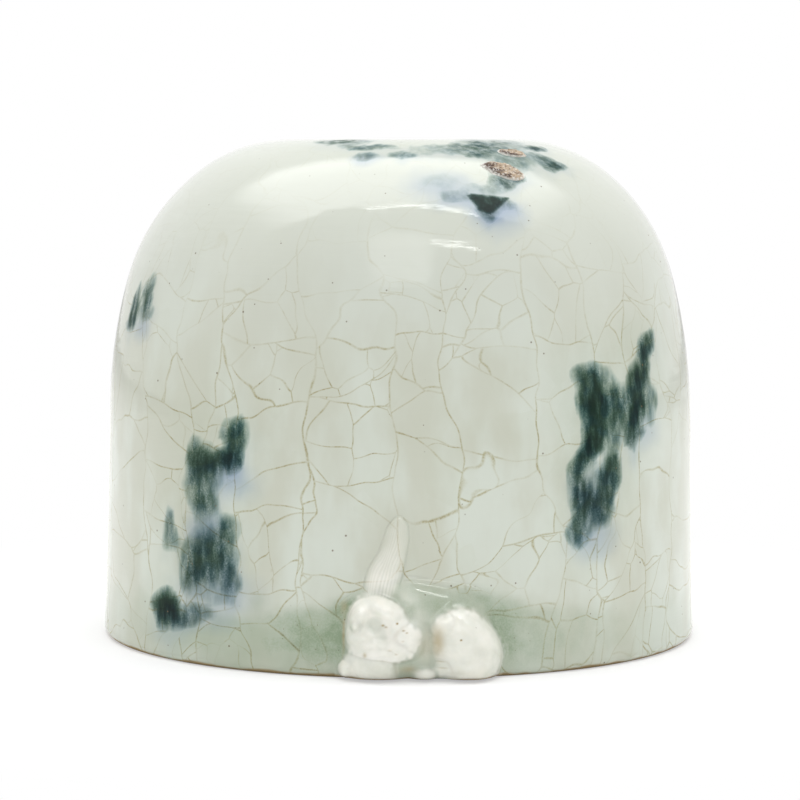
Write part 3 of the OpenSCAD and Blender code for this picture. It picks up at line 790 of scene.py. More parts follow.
@shared
def coat(tones):
    """The glaze as it lies: crackled celadon, green pools, brushed daubs, the white veil and brown stains."""
    nodes, given, result = new_tree(
        "Coat",
        {"Position": "Vector", "Normal": "Vector"},
        {"Colour": "Color", "Inked": "Float", "Bare": "Float"},
    )
    place = given["Position"]
    depth = nodes.group(glaze_depth(), {"Position": place})
    cracks = nodes.group(craze(), {"Position": place, "Normal": given["Normal"]})
    grains = nodes.noise(place, 0.24 * MM)
    patches = nodes.noise(place, 2.4 * MM, 3.0)
    pool = nodes.mark("pool")

    def over_celadon(shade):
        """Stain that turns celadon into this shade at one unit of depth."""
        return rgba([part / wall for part, wall in zip(shade, tones.celadon)])

    def seen_through(colour, stain, amount):
        return nodes.group(stained(), {"Colour": colour, "Stain": stain, "Depth": amount})["Colour"]

    # Clouded celadon, paler towards the crown and green where it gathers
    colour = nodes.mix(nodes.ramp(depth["Cloud"], 0.36, 0.62), rgba(tones.milk), rgba(tones.celadon))
    colour = nodes.mix(nodes.ramp(cracks["Plate"], 0.4, 0.95, 0.0, 0.15), colour, rgba(tones.moss))
    colour = nodes.mix(depth["Thin"], colour, rgba(tones.pale))
    gathered = nodes.times(
        pool, nodes.ramp(patches, 0.3, 0.7, 0.75, 1.15), nodes.ramp(grains, 0.3, 0.7, 0.9, 1.08)
    )
    colour = nodes.mix(nodes.math("MAXIMUM", depth["Band"], gathered), colour, rgba(tones.pool))

    # Brushed colour, streaked and grainy, over the blue that runs out of it
    colour = seen_through(colour, over_celadon(tones.bloom), nodes.mark("bloom"))
    # The clean-edged daub is dark ink cut off along a painted reflection edge
    wedge = nodes.ramp(nodes.mark("wedge"), -0.05, 0.75, 0.0, 1.25)
    ink = nodes.math("ADD", nodes.mark("ink"), wedge)
    streaks = nodes.noise(nodes.vector("MULTIPLY", place, (1.0, 1.0, 0.35)), 1.1 * MM, 3.0)
    body = nodes.times(nodes.math("SUBTRACT", ink, 0.1), nodes.ramp(streaks, 0.28, 0.72, 0.5, 1.45))
    speckle = nodes.times(nodes.math("SUBTRACT", grains, 0.5), nodes.ramp(ink, 0.15, 0.8, 0.0, 0.8))
    brushed = nodes.math("MAXIMUM", nodes.math("ADD", body, speckle), 0.0)
    bare_share = nodes.math("EXPONENT", nodes.times(brushed, -1.0))
    laid = nodes.times(nodes.math("SUBTRACT", 1.0, bare_share), 1.22)
    thick = nodes.mix(nodes.ramp(patches, 0.38, 0.62), over_celadon(tones.ink), over_celadon(tones.leaf))
    colour = seen_through(colour, thick, laid)
    inked = nodes.ramp(laid, 0.1, 0.7)

    # Stained craze lines, faint in the ink and on the smooth slip
    line = nodes.times(
        cracks["Line"],
        nodes.ramp(inked, 0.0, 1.0, 0.75, 0.3),
        nodes.ramp(nodes.mark("slip"), 0.0, 1.0, 1.0, 0.05),
        nodes.ramp(grains, 0.3, 0.7, 0.6, 1.3),
    )
    colour = seen_through(colour, over_celadon(tones.craze), line)

    # White veil, and the brown that stains it
    veil = nodes.times(nodes.mark("veil"), nodes.ramp(patches, 0.25, 0.75, 1.1, 0.82))
    colour = nodes.mix(veil, colour, rgba(tones.white))
    rusty = nodes.times(nodes.mark("stain"), nodes.ramp(patches, 0.25, 0.7, 0.45, 1.0))
    colour = nodes.mix(nodes.math("MINIMUM", rusty, 1.0), colour, rgba(tones.rust))
    colour = nodes.mix(nodes.ramp(rusty, 0.9, 1.7), colour, rgba(tones.speck))

    # Iron specks, with finer ones in the green and on the craze lines
    dust = nodes.cells(place, 0.8 * MM)
    chance = nodes.channels(dust["Color"])[1]
    in_green, on_lines = nodes.ramp(pool, 0.3, 0.8, 0.0, 0.6), nodes.ramp(line, 0.1, 0.4, 0.0, 0.8)
    fine = nodes.times(
        nodes.ramp(dust["Distance"], 0.06, 0.15, 1.0, 0.0),
        nodes.ramp(chance, 0.72, 0.78),
        nodes.math("MAXIMUM", in_green, on_lines),
    )
    specks = nodes.math("MAXIMUM", nodes.times(cracks["Speck"], 0.8), fine)
    specks = nodes.times(specks, nodes.ramp(veil, 0.0, 0.8, 1.0, 0.25))
    colour = nodes.mix(specks, colour, rgba(tones.speck))
    colour = nodes.mix(depth["Bare"], colour, rgba(tones.biscuit))
    nodes.feed(result["Colour"], colour)
    nodes.feed(result["Inked"], inked)
    nodes.feed(result["Bare"], depth["Bare"])
    return nodes.tree


CELADON_GLOSS = 0.08


def celadon_glaze(tones):
    """Celadon of the wall over its throwing lines. Its gloss is a coat, which ink and bare clay make dull."""
    material, nodes, shader, place, normal = new_material("crackled_celadon")
    glaze = nodes.group(coat(tones), {"Position": place, "Normal": normal})
    bare = glaze["Bare"]
    glassy = nodes.ramp(glaze["Inked"], 0.0, 1.0, 1.0, 0.24)
    rings = nodes.noise(nodes.vector("MULTIPLY", place, (0.09, 0.09, 1.0)), 1.6 * MM, 3.0)
    thrown = nodes.math("ADD", nodes.noise(place, 5 * MM), nodes.times(rings, 0.7))
    bump = nodes.add("ShaderNodeBump", {"Strength": 0.22, "Distance": 0.25 * MM, "Height": thrown}).outputs[0]
    finish = {
        "Base Color": glaze["Colour"],
        "Roughness": nodes.ramp(bare, 0.0, 1.0, CELADON_GLOSS, 0.7),
        "Specular IOR Level": 0.0,
        "Coat Weight": nodes.times(glassy, nodes.ramp(bare, 0.0, 1.0, 1.0, 0.0)),
        "Coat Roughness": CELADON_GLOSS,
        "Coat Normal": bump,
        "Normal": bump,
    }
    nodes.fill(shader, finish)
    return material


def white_glaze(tones):
    """Opaque white of the beast, thin enough at its edges for the green to show."""
    material, nodes, shader, place, normal = new_material("opaque_white")
    glaze = nodes.group(coat(tones), {"Position": place, "Normal": normal})
    pitted = nodes.ramp(nodes.mark("slip"), 0.3, 0.8, 0.1, 0.0)
    lumps = nodes.noise(place, 2.2 * MM)
    bump = nodes.add("ShaderNodeBump", {"Strength": pitted, "Distance": 0.1 * MM, "Height": lumps})
    finish = {
        "Base Color": glaze["Colour"],
        "Roughness": 0.07,
        "Subsurface Weight": 0.3,
        "Subsurface Radius": (1.0, 0.9, 0.8),
        "Subsurface Scale": 1.0 * MM,
        "Normal": bump.outputs[0],
    }
    nodes.fill(shader, finish)
    return material


def kiln_grit(tones):
    """Rough brown grit with a rim of pale glaze."""
    material, nodes, shader, place, _ = new_material("fused_grit")
    lumps = nodes.noise(place, 0.5 * MM, 3.0)
    chalk = nodes.ramp(nodes.noise(place, 0.28 * MM), 0.5, 0.7, 0.0, 0.6)
    burnt = nodes.math("ADD", nodes.times(nodes.mark("burnt"), 0.3), lumps)
    fired = nodes.math("ADD", nodes.mark("rim"), nodes.times(lumps, 0.7))
    fired = nodes.ramp(fired, 1.05, 1.5, 0.0, 0.85)
    colour = nodes.mix(nodes.ramp(burnt, 0.45, 0.8), rgba(tones.grit), rgba(tones.grit_dark))
    colour = nodes.mix(chalk, colour, rgba(tones.white))
    bump = nodes.add("ShaderNodeBump", {"Strength": 0.8, "Distance": 0.3 * MM, "Height": lumps})
    finish = {
        "Base Color": nodes.mix(fired, colour, rgba(tones.white)),
        "Roughness": nodes.ramp(fired, 0.0, 1.0, 0.75, 0.15),
        "Normal": bump.outputs[0],
    }
    nodes.fill(shader, finish)
    return material


# Relief of the beast, as heights off the wall over a flat sheet across and along it


# Domed lobes: place, size across and up, turn, height, fullness of the dome and squareness of its rim
Lobe = namedtuple("Lobe", "x y wide high turn height full square", defaults=(2.6, 2.3))
BED_MM = Lobe(3.0, 6.4, 25, 14.6, 0, 0.8)
BEAST_MM = {
    "trunk": (Lobe(3.8, 8.0, 19.0, 11.4, -11, 2.6, 1.7, 2.8), Lobe(2.4, 4.0, 20.0, 8.6, 0, 2.7, 3.0, 2.6)),
    "haunch": (Lobe(8.6, 4.7, 10.2, 13.2, 42, 4.7, 2.8, 2.3), Lobe(5.7, 7.6, 4.6, 4.0, 40, 4.2, 2.4)),
    "head": (
        Lobe(-2.6, 7.1, 9.6, 9.4, -12, 3.9, 3.6, 3.0),
        Lobe(-5.0, 8.8, 3.6, 5.6, -25, 4.2, 2.4),
        Lobe(-1.8, 9.9, 6.6, 3.6, -22, 4.5, 2.2),
        Lobe(-1.6, 4.6, 10.6, 4.8, 0, 4.3, 3.0, 3.0),
    ),
    "muzzle": (Lobe(0.8, 5.9, 6.4, 6.2, -10, 4.0, 2.8),),
    "ear": (Lobe(-5.4, 7.9, 2.6, 3.6, 0, 4.4, 2.0),),
    "fore_paws": (Lobe(-6.7, 1.6, 2.8, 2.6, 0, 2.9, 2.2), Lobe(-3.3, 2.2, 8.4, 5.4, 0, 3.9, 2.6, 2.6)),
    "hind_paws": (
        Lobe(3.4, 1.2, 4.4, 2.6, 0, 3.1, 2.2),
        Lobe(5.8, 2.5, 4.0, 4.8, 10, 3.7, 2.4),
        Lobe(9.2, 1.7, 9.0, 4.4, 0, 3.8, 2.4, 2.4),
    ),
}
# Hollows pressed in with a tool: place, size across and up, turn and depth
Hollow = namedtuple("Hollow", "x y wide high turn depth")
HOLLOWS_MM = {
    "head": (
        Hollow(-3.2, 8.1, 5.2, 4.6, 15, 0.8),
        Hollow(-1.4, 6.2, 3.0, 2.4, 20, 0.2),
        Hollow(-1.8, 7.8, 0.9, 0.6, -15, 0.15),
        Hollow(-0.2, 8.2, 0.6, 0.5, 0, 0.12),
        Hollow(-0.6, 4.4, 2.8, 0.5, -15, 0.15),
        Hollow(-4.2, 3.9, 0.8, 1.0, 0, 0.2),
    ),
    "haunch": (Hollow(10.1, 4.2, 3.0, 3.0, 0, 0.4), Hollow(7.7, 6.0, 0.4, 0.4, 0, 0.15)),
    "hind_paws": (Hollow(5.2, 3.1, 1.9, 0.35, 8, 0.25), Hollow(5.4, 2.2, 1.9, 0.35, 4, 0.25)),
}
# Brown stains: place, size across and up, strength and turn
Stain = namedtuple("Stain", "x y wide high dark turn", defaults=(0,))
STAINS_MM = (
    Stain(-2.0, 7.9, 0.5, 0.35, 1.8), Stain(-1.6, 7.7, 0.5, 0.3, 1.2), Stain(-0.2, 8.2, 0.35, 0.3, 1.7),
    Stain(0.6, 7.3, 0.5, 0.25, 1.3), Stain(1.0, 7.0, 0.4, 0.25, 1.3), Stain(0.5, 5.9, 0.5, 0.3, 0.6),
    Stain(-1.1, 4.6, 0.7, 0.35, 0.5), Stain(-0.3, 4.1, 0.5, 0.3, 0.5), Stain(-4.2, 3.9, 0.6, 0.8, 0.7),
    Stain(4.9, 5.6, 2.0, 6.0, 0.7), Stain(3.6, 4.8, 3.4, 6.4, 0.3), Stain(1.3, 1.8, 3.0, 1.4, 0.5),
    Stain(5.2, 3.05, 1.6, 0.25, 0.6), Stain(5.4, 2.15, 1.6, 0.25, 0.6), Stain(7.7, 6.0, 0.3, 0.3, 1.9),
    Stain(-7.5, 6.6, 0.6, 6.6, 0.9), Stain(-7.5, 9.6, 1.4, 3.0, 0.5),
)
# White that has spread beyond the masses
SPREADS_MM = (
    Stain(0.9, 10.8, 2.6, 4.0, 0.3), Stain(-2.8, 12.0, 4.0, 2.4, 0.7),
    Stain(2.4, 8.8, 3.0, 4.0, 0.45), Stain(3.4, 5.4, 3.4, 6.0, 0.55),
)
# The tail's middle line and half width, root to tip, as (across, along, half width)
TAIL_MM = (
    (-2.7, 10.2, 2.1), (-2.5, 12.0, 2.3), (-2.2, 13.6, 2.4), (-1.8, 15.3, 2.3), (-0.9, 17.4, 1.8),
    (-0.4, 19.4, 1.6), (-0.2, 20.9, 1.3), (-0.1, 21.6, 0.9), (0.0, 22.2, 0.4),
)
TAIL_ROOT_MM, TAIL_TIP_MM = 0.7, 0.2
# Depth in the wall at which the beast's thin edges end
RUN_OUT_MM = 0.03
# Reach of the sheet that the beast is modelled on
SHEET_ACROSS_MM, SHEET_ALONG_MM = (-12.5, 19.0), (0.05, 23.5)
# How steeply the tail and the other pieces sink away where a neighbour covers them
TAIL_FALL, PIECE_FALL = 0.6, 1.5
# Fillets of glaze that differ from the rest
FILLETS_MM = {"trunk": 0.4, "tail": 1.2, "ear": 1.0, "muzzle": 2.8, "fore_paws": 4.2, "hind_paws": 2.4}
MASSES = ("head", "haunch", "muzzle", "ear", "fore_paws", "hind_paws")
LAYERS = ("slip_bed", "trunk", "haunch", "head", "muzzle", "ear", "tail", "fore_paws", "hind_paws")


class Beast:
    """Heights of the beast's pieces off the wall, in millimetres."""

    def __init__(self, sizes):
        self.lift, self.soft = sizes.lift / MM, sizes.soft / MM
        self.hair, self.grain = sizes.hair / MM, sizes.grain / MM
        stations = np.array(TAIL_MM)
        steps = np.linspace(0, len(stations) - 1, 240)
        reach = 20
        window = np.hanning(2 * reach + 1)
        window = window / window.sum()
        self.tail_line = []
        for column in stations.T:
            straight = np.pad(np.interp(steps, range(len(stations)), column), reach, mode="edge")
            self.tail_line.append(np.convolve(straight, window, mode="valid"))

    @staticmethod
    def lobe(lobe, x, y):
        """Height of a domed lobe, which goes on falling outside its rim."""
        out = spread(lobe, x, y, lobe.square)
        inside = lobe.height * (1 - np.minimum(out, 1) ** lobe.full)
        return inside - np.maximum(out - 1, 0) * lobe.height * lobe.full

    @staticmethod
    def bed(x, y):
        """Height of the slip bed, which runs out on the wall, with a small ledge along its top."""
        out = spread(BED_MM, x, y, BED_MM.square)
        ledge = 0.22 * smooth_step(out, 1.02, 0.985) * smooth_step(y, 7, 11)
        dome = BED_MM.height * (1 - np.minimum(out, 1) ** 2) ** 2
        return dome + ledge - np.maximum(out - 1.02, 0) * 12

    def strands(self, x, y):
        """Place across the tail, from -1 to 1 between its sides, and the comb marks along it."""
        middle, along, half = self.tail_line
        across = (x - np.interp(y, along, middle)) / np.maximum(np.interp(y, along, half), 0.1)
        wave = np.cos(across * 34 + 2.2 * lattice_noise(x, y / 4, 1.1, 5))
        return across, wave * np.clip(1.2 - np.abs(across), 0, 1)

    def tail(self, x, y):
        """Height of the combed tail, which falls away past its sides and ends."""
        across, comb = self.strands(x, y)
        along, half = self.tail_line[1:]
        share = np.clip((y - along[0]) / (along[-1] - along[0]), 0, 1)
        height = TAIL_ROOT_MM + (TAIL_TIP_MM - TAIL_ROOT_MM) * share
        ends = np.maximum(y - along[-1], 0) * 3 + np.maximum(along[0] - y, 0) * 1.2
        out = np.abs(across)
        sides = np.maximum(out - 1, 0) * 3 * np.interp(y, along, half)
        return height * (1 - np.minimum(out, 1) ** 2.4) - sides - ends + comb * self.hair

    def heights(self, x, y):
        """Height of every layer at points of the sheet."""
        found = {"tail": self.tail(x, y), "slip_bed": self.bed(x, y)}
        under_foot = np.maximum(self.lift - y, 0) * 14
        for name, lobes in BEAST_MM.items():
            top = self.lobe(lobes[0], x, y)
            for other in lobes[1:]:
                top = blended(top, self.lobe(other, x, y), 1.0)
            for hollow in HOLLOWS_MM.get(name, ()):
                top = top - hollow.depth * np.exp(-2.5 * spread(hollow, x, y) ** 2)
            found[name] = top - under_foot
        found["slip_bed"] -= under_foot
        return found

    def green(self, found, x, y):
        """How green the glaze is round the beast: thick in the creases, beside it and along the foot."""
        lobes = [lobe for name in MASSES for lobe in BEAST_MM[name]]
        gaps = [(spread(lobe, x, y, lobe.square) - 1) * min(lobe.wide, lobe.high) / 2 for lobe in lobes]
        gap = np.maximum(np.min(gaps, axis=0), 0)
        right = smooth_step(x, -6, 8)
        crest = smooth_step(y + 0.5 * gap - 1.8 * right, 13, 9.5) * (1 - 0.6 * smooth_step(y, 5, 0.5))
        beside = (1.05 - 0.14 * right) * np.exp(-gap / (9 - 2.5 * right)) * crest
        beside = beside * (1 - self.slip(found) * (0.4 + 0.45 * smooth_step(y, 10, 7)))
        foot = 0.3 * np.exp(-(((x - 3) / 12) ** 2)) * smooth_step(y, 9, 1)
        back = 0.42 * self.slip(found) * smooth_step(y, 8, 11)
        return np.max([beside, foot, back], axis=0)

    @staticmethod
    def slip(found):
        """Where the smooth slip of the trunk covers the wall."""
        return smooth_step(found["trunk"], -0.1, 0.9)

    @staticmethod
    def masses(found):
        """Greatest height of the beast's masses, which stand on the trunk."""
        return np.max([found[name] for name in MASSES], axis=0)

    def veil(self, found, x, y):
        """Share of opaque white over the green: full on the masses, thin at their sides and down the tail,
        and thinned on the legs under the head as painted shade.
        """
        ground = np.max([found["trunk"], found["slip_bed"], np.zeros_like(x)], axis=0)
        masses = self.masses(found)
        comb = self.strands(x, y)[1]
        strength = 0.75 - 0.45 * smooth_step(y, 12, 20)
        tail = smooth_step(found["tail"] - 0.2 * ground, -0.15, 0.45) * strength * (1 + 0.2 * comb)
        legs = np.max([found["fore_paws"], found["hind_paws"]], axis=0)
        # Where the legs show under the head their white is thinned, which greys them as painted shade under
        # the jaw; the haunch and the lowest part also get less white.
        shaded_legs = smooth_step(legs - masses, -0.3, 0.0) * smooth_step(x, 7, 5) * smooth_step(x, -7.5, -5)
        thin = 0.1 * smooth_step(x, 3, 6) + 0.16 * shaded_legs + 0.12 * smooth_step(y, 10, 7)
        feathers = 0.5 * lattice_noise(x, y, 0.5, 9)
        white = np.maximum(smooth_step(masses - ground + feathers, -0.8, 1.0) * (0.93 - thin), tail)
        for spot in SPREADS_MM:
            white = np.maximum(white, spot.dark * np.exp(-1.6 * spread(spot, x, y) ** 2))
        return white

    def skin(self, x, y):
        """Height of the whole beast, the greatest layer and the next one under it."""
        found = self.heights(x, y)
        top = np.maximum(found["slip_bed"], 0)
        for name in LAYERS[1:]:
            top = blended(top, found[name], FILLETS_MM.get(name, self.soft))
        ranked = np.sort(np.stack(list(found.values())), axis=0)
        rough = self.grain * smooth_step(self.masses(found) - found["trunk"], -0.4, 0.4)
        top = top + rough * lattice_noise(x, y, 1.3, 3) * np.clip(top, 0, 1)
        top = top + 0.4 * rough * lattice_noise(x, y, 0.45, 4) * np.clip(top - 1, 0, 1)
        return found, top, ranked[-1], ranked[-2]


def sheet_mesh(name, points, backs, keep, marks, skin=None):
    """Closed mesh of a sheet's kept cells, shaded as part of a whole skin where one is given."""
    cells = keep[:-1, :-1] & keep[1:, :-1] & keep[:-1, 1:] & keep[1:, 1:]
    rows, columns = keep.shape
    number = np.arange(rows * columns).reshape(rows, columns)
    row, column = np.nonzero(cells)
    corners = ((0, 0), (1, 0), (1, 1), (0, 1))
    quads = np.stack([number[row + down, column + right] for down, right in corners], axis=1)
    used, flat = np.unique(quads, return_inverse=True)
    quads = flat.reshape(-1, 4)
    count = len(used)
    edges = np.concatenate([quads[:, [corner, (corner + 1) % 4]] for corner in range(4)])
    codes = edges[:, 0] * count + edges[:, 1]
    lone = edges[~np.isin(codes, edges[:, 1] * count + edges[:, 0])]
    rim = np.stack([lone[:, 1], lone[:, 0], lone[:, 0] + count, lone[:, 1] + count], axis=1)
    faces = np.concatenate([quads, quads[:, ::-1] + count, rim])
    vertices = np.concatenate([points.reshape(-1, 3)[used], backs.reshape(-1, 3)[used]])
    mesh = bpy.data.meshes.new(name)
    mesh.from_pydata(vertices.tolist(), [], faces.tolist())
    mesh.polygons.foreach_set("use_smooth", np.ones(len(faces), bool))
    add_marks(mesh, {label: np.tile(values.reshape(-1)[used], 2) for label, values in marks.items()})
    face_outward(mesh)
    if skin is not None:
        normals = np.cross(np.gradient(skin, axis=0), np.gradient(skin, axis=1))
        normals /= np.linalg.norm(normals, axis=-1, keepdims=True)
        kept = normals.reshape(-1, 3)[used]
        mesh.normals_split_custom_set_from_vertices(np.concatenate([kept, -kept]).tolist())
    return mesh


def add_marks(mesh, marks):
    """Stores values at the points of a mesh, for its glaze to read."""
    for label, values in marks.items():
        layer = mesh.attributes.new(label, "FLOAT", "POINT")
        layer.data.foreach_set("value", values.astype(np.float32))


def face_outward(mesh):
    """Turns every face of a closed mesh outwards."""
    work = bmesh.new()
    work.from_mesh(mesh)
    bmesh.ops.recalc_face_normals(work, faces=work.faces)
    work.to_mesh(mesh)
    work.free()
    mesh.update()


def settle(piece, node):
    """Puts a finished piece on the body in place of its CAD node."""
    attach(piece, BODY)
    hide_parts(node)


def placed(name, data):
    """A new object in the scene that holds this mesh, curve, lamp or camera."""
    item = bpy.data.objects.new(name, data)
    bpy.context.scene.collection.objects.link(item)
    return item


def add_piece(mesh, material):
    mesh.materials.append(material)
    return placed(mesh.name, mesh)


# Steps in the making


class COUPE_OT_throw_pot(Operator):
    """Throw the pot from its half section and glaze it"""

    bl_idname = "coupe.throw_pot"
    bl_label = "Throw the pot"

    def execute(self, context):
        scene = context.scene
        dome = Dome(scene.coupe_pot)
        mesh = self.thrown(context, dome, celadon_glaze(scene.coupe_tones))
        if not mesh.polygons:
            raise RuntimeError("the pot has no faces")
        face_outward(mesh)
        self.mark_wall(mesh, dome, Beast(scene.coupe_beast))
        settle(placed("vessel_thrown", mesh), "vessel")
        return {"FINISHED"}

    @staticmethod
    def thrown(context, dome, material):
        """Plain mesh of the half section, turned and let stray by the node tree."""
        pot = dome.pot
        outline = bpy.data.curves.new("half_section", "CURVE")
        outline.dimensions = "3D"
        points = dome.section()
        spline = outline.splines.new("POLY")
        spline.points.add(len(points) - 1)
        for knot, (r, z) in zip(spline.points, points):
            knot.co = (r, -z, 0, 1)
        section = placed("half_section", outline)
        source = placed("thrown_pot", bpy.data.meshes.new("thrown_pot"))
        sizes = {
            "Section": section, "Segments": pot.segments, "Sway": pot.sway, "Ripple": pot.ripple,
            "Crown Dip": pot.crown_dip, "Height": pot.height, "Radius": pot.radius, "Seed": pot.seed,
            "Clay": material,
        }
        modifier = source.modifiers.new("Thrown pot", "NODES")
        modifier.node_group = thrown_pot_tree()
        for item in modifier.node_group.interface.items_tree:
            if item.in_out == "INPUT":
                modifier[item.identifier] = sizes[item.name]
        mesh = bpy.data.meshes.new_from_object(source.evaluated_get(context.evaluated_depsgraph_get()))
        for spare in (source, section):
            bpy.data.objects.remove(spare)
        return mesh

    @staticmethod
    def mark_wall(mesh, dome, beast):
        """Gives each point of the outside its daubs, and the green and white that gather round the beast."""
        points = np.empty(3 * len(mesh.vertices), np.float32)
        mesh.vertices.foreach_get("co", points)
        x, y, z = points.reshape(-1, 3).astype(float).T
        radius, turn = np.hypot(x, y), np.arctan2(x, -y)
        run = dome.run_of(radius, z)
        outside = radius > dome.point(run)[0] - 1.2 * MM
        ink, bloom, haze = daub_marks(dome, turn, run, radius)
        across, along = turn * dome.pot.radius / MM, run / MM
        found = beast.heights(across, along)
        marks = {
            "ink": ink,
            "bloom": bloom,
            "pool": np.maximum(beast.green(found, across, along), haze),
            "veil": beast.veil(found, across, along),
            "slip": beast.slip(found),
            "wedge": unreflected_wedge_depth(dome, turn, run),
        }
        add_marks(mesh, {label: values * outside for label, values in marks.items()})


class COUPE_OT_lute_beast(Operator):
    """Press out the beast's pieces and lute them to the wall"""

    bl_idname = "coupe.lute_beast"
    bl_label = "Lute the beast"

    def execute(self, context):
        scene = context.scene
        sizes = scene.coupe_beast
        dome, beast = Dome(scene.coupe_pot), Beast(sizes)
        white, celadon = white_glaze(scene.coupe_tones), bpy.data.materials["crackled_celadon"]
        step, sunk = sizes.grid / MM, sizes.sunk / MM
        x, y = np.meshgrid(np.arange(*SHEET_ACROSS_MM, step), np.arange(*SHEET_ALONG_MM, step), indexing="ij")

        def raised(height):
            return dome.on_wall(0.0, 0.0, x * MM, y * MM, height * MM)

        found, top, greatest, second = beast.skin(x, y)
        hollows = np.clip((soften(top, 1.5 / step) - top) * 1.5 - 0.03, 0, 0.4) * smooth_step(y, 14, 11)
        marks = {
            "pool": np.maximum(beast.green(found, x, y), hollows),
            "veil": beast.veil(found, x, y) * (1 - hollows),
            "stain": self.stains(x, y, greatest, second),
            "slip": beast.slip(found),
        }
        skin, backs = raised(top), raised(np.full_like(x, -sunk))
        for name in LAYERS:
            fall = TAIL_FALL if name == "tail" else PIECE_FALL
            height = top - fall * (greatest - found[name]) - RUN_OUT_MM
            keep = (height > -0.6 * sunk) & (top > 0.15 * RUN_OUT_MM) & (y > beast.lift - 0.2)
            places = raised(np.maximum(height, -0.9 * sunk))
            mesh = sheet_mesh(f"beast_{name}", places, backs, keep, marks, skin)
            if not mesh.polygons:
                raise RuntimeError(f"{name} has no faces")
            plain = name == "slip_bed"
            piece = add_piece(mesh, celadon if plain else white)
            settle(piece, name)
        return {"FINISHED"}

    @staticmethod
    def stains(x, y, greatest, second):
        """Brown in the creases between two pieces, and where the beast is stained."""
        crease = np.clip(1 - (greatest - second) / 0.5, 0, 1) * np.clip(second - 0.3, 0, 1)
        brown = 0.2 * crease * np.clip(0.4 + lattice_noise(x, y, 2.2, 8), 0, 1)
        for spot in STAINS_MM:
            brown = np.maximum(brown, spot.dark * np.exp(-1.6 * spread(spot, x, y) ** 2))
        return brown


# Cells each way in a pad's sheet, how far it reaches in pad sizes, and how deep its edge and back lie
PAD_CELLS, PAD_REACH = 110, 0.62
PAD_EDGE, PAD_BACK = 0.4 * MM, 0.5 * MM


class COUPE_OT_fuse_grit(Operator):
    """Fuse the two pads of kiln grit to the shoulder"""

    bl_idname = "coupe.fuse_grit"
    bl_label = "Fuse the kiln grit"

    def execute(self, context):
        scene = context.scene
        grit = scene.coupe_grit
        dome = Dome(scene.coupe_pot)
        material = kiln_grit(scene.coupe_tones)
        labels = ("turn", "drop", "length", "width", "tilt", "rim")
        span = np.linspace(-PAD_REACH, PAD_REACH, PAD_CELLS)
        along, across = np.meshgrid(span, span, indexing="ij")
        for seed, size in enumerate(("large", "small"), 11):
            turn, drop, long, wide, tilt, rim = [getattr(grit, f"{size}_{label}") for label in labels]
            x = along * long * math.cos(tilt) - across * wide * math.sin(tilt)
            y = along * long * math.sin(tilt) + across * wide * math.cos(tilt)
            out = 2 * np.hypot(along, across) + 0.08 * lattice_noise(x / MM, y / MM, 1.1, seed)
            lumps = 0.12 * lattice_noise(x / MM, y / MM, 0.5, seed + 2)
            bowl = 1 - np.minimum(out, 1) ** 4 - 0.55 * np.exp(-((1.7 * out) ** 2)) + lumps * (out < 0.9)
            height = rim * np.where(out < 1, bowl, 4 * (1 - out))
            run = dome.starts[-1] - drop
            places = dome.on_wall(turn, run, x, y, np.maximum(height, -PAD_EDGE))
            backs = dome.on_wall(turn, run, x, y, np.full_like(x, -PAD_BACK))
            marks = {"rim": smooth_step(out, 0.45, 0.95), "burnt": smooth_step(-along - across, -0.1, 0.5)}
            mesh = sheet_mesh(f"grit_{size}_pad", places, backs, height > -0.3 * MM, marks)
            if not mesh.polygons:
                raise RuntimeError(f"the {size} pad has no faces")
            settle(add_piece(mesh, material), f"grit_{size}")
        return {"FINISHED"}


# Flat lamps: name, the stage's brightness they take, place, size, aim, share of soft edge, and whether the
# near edge is clean
Lamp = namedtuple("Lamp", "name level place size aim soft clean", defaults=(0.0, False))
DOWN = (0.0, 0.0, -1.0)
LAMPS = (
    Lamp("softbox", "softbox", (0.0, 0.155, 0.67), (1.3, 0.6), DOWN, 0.25, True),
    Lamp("near_strip", "strip", (0.08, -0.165, 0.67), (0.42, 0.018), DOWN),
    Lamp("far_strip", "strip", (0.28, -0.46, 0.67), (0.27, 0.03), DOWN),
    Lamp("side_panel", "side", (-0.8, -0.1, 0.45), (0.6, 0.8), (1.0, 0.1, -0.5), 0.3),
    Lamp("side_panel", "side", (0.8, -0.1, 0.45), (0.6, 0.8), (-1.0, 0.1, -0.5), 0.3),
    Lamp("front_panel", "front", (0.0, -0.75, 0.75), (0.5, 0.7), (0.0, 0.72, -0.7), 0.2),
)
WHITE = (1.0, 1.0, 1.0, 1.0)
FLOOR_HALF = 3.0
SENSOR_MM = 36


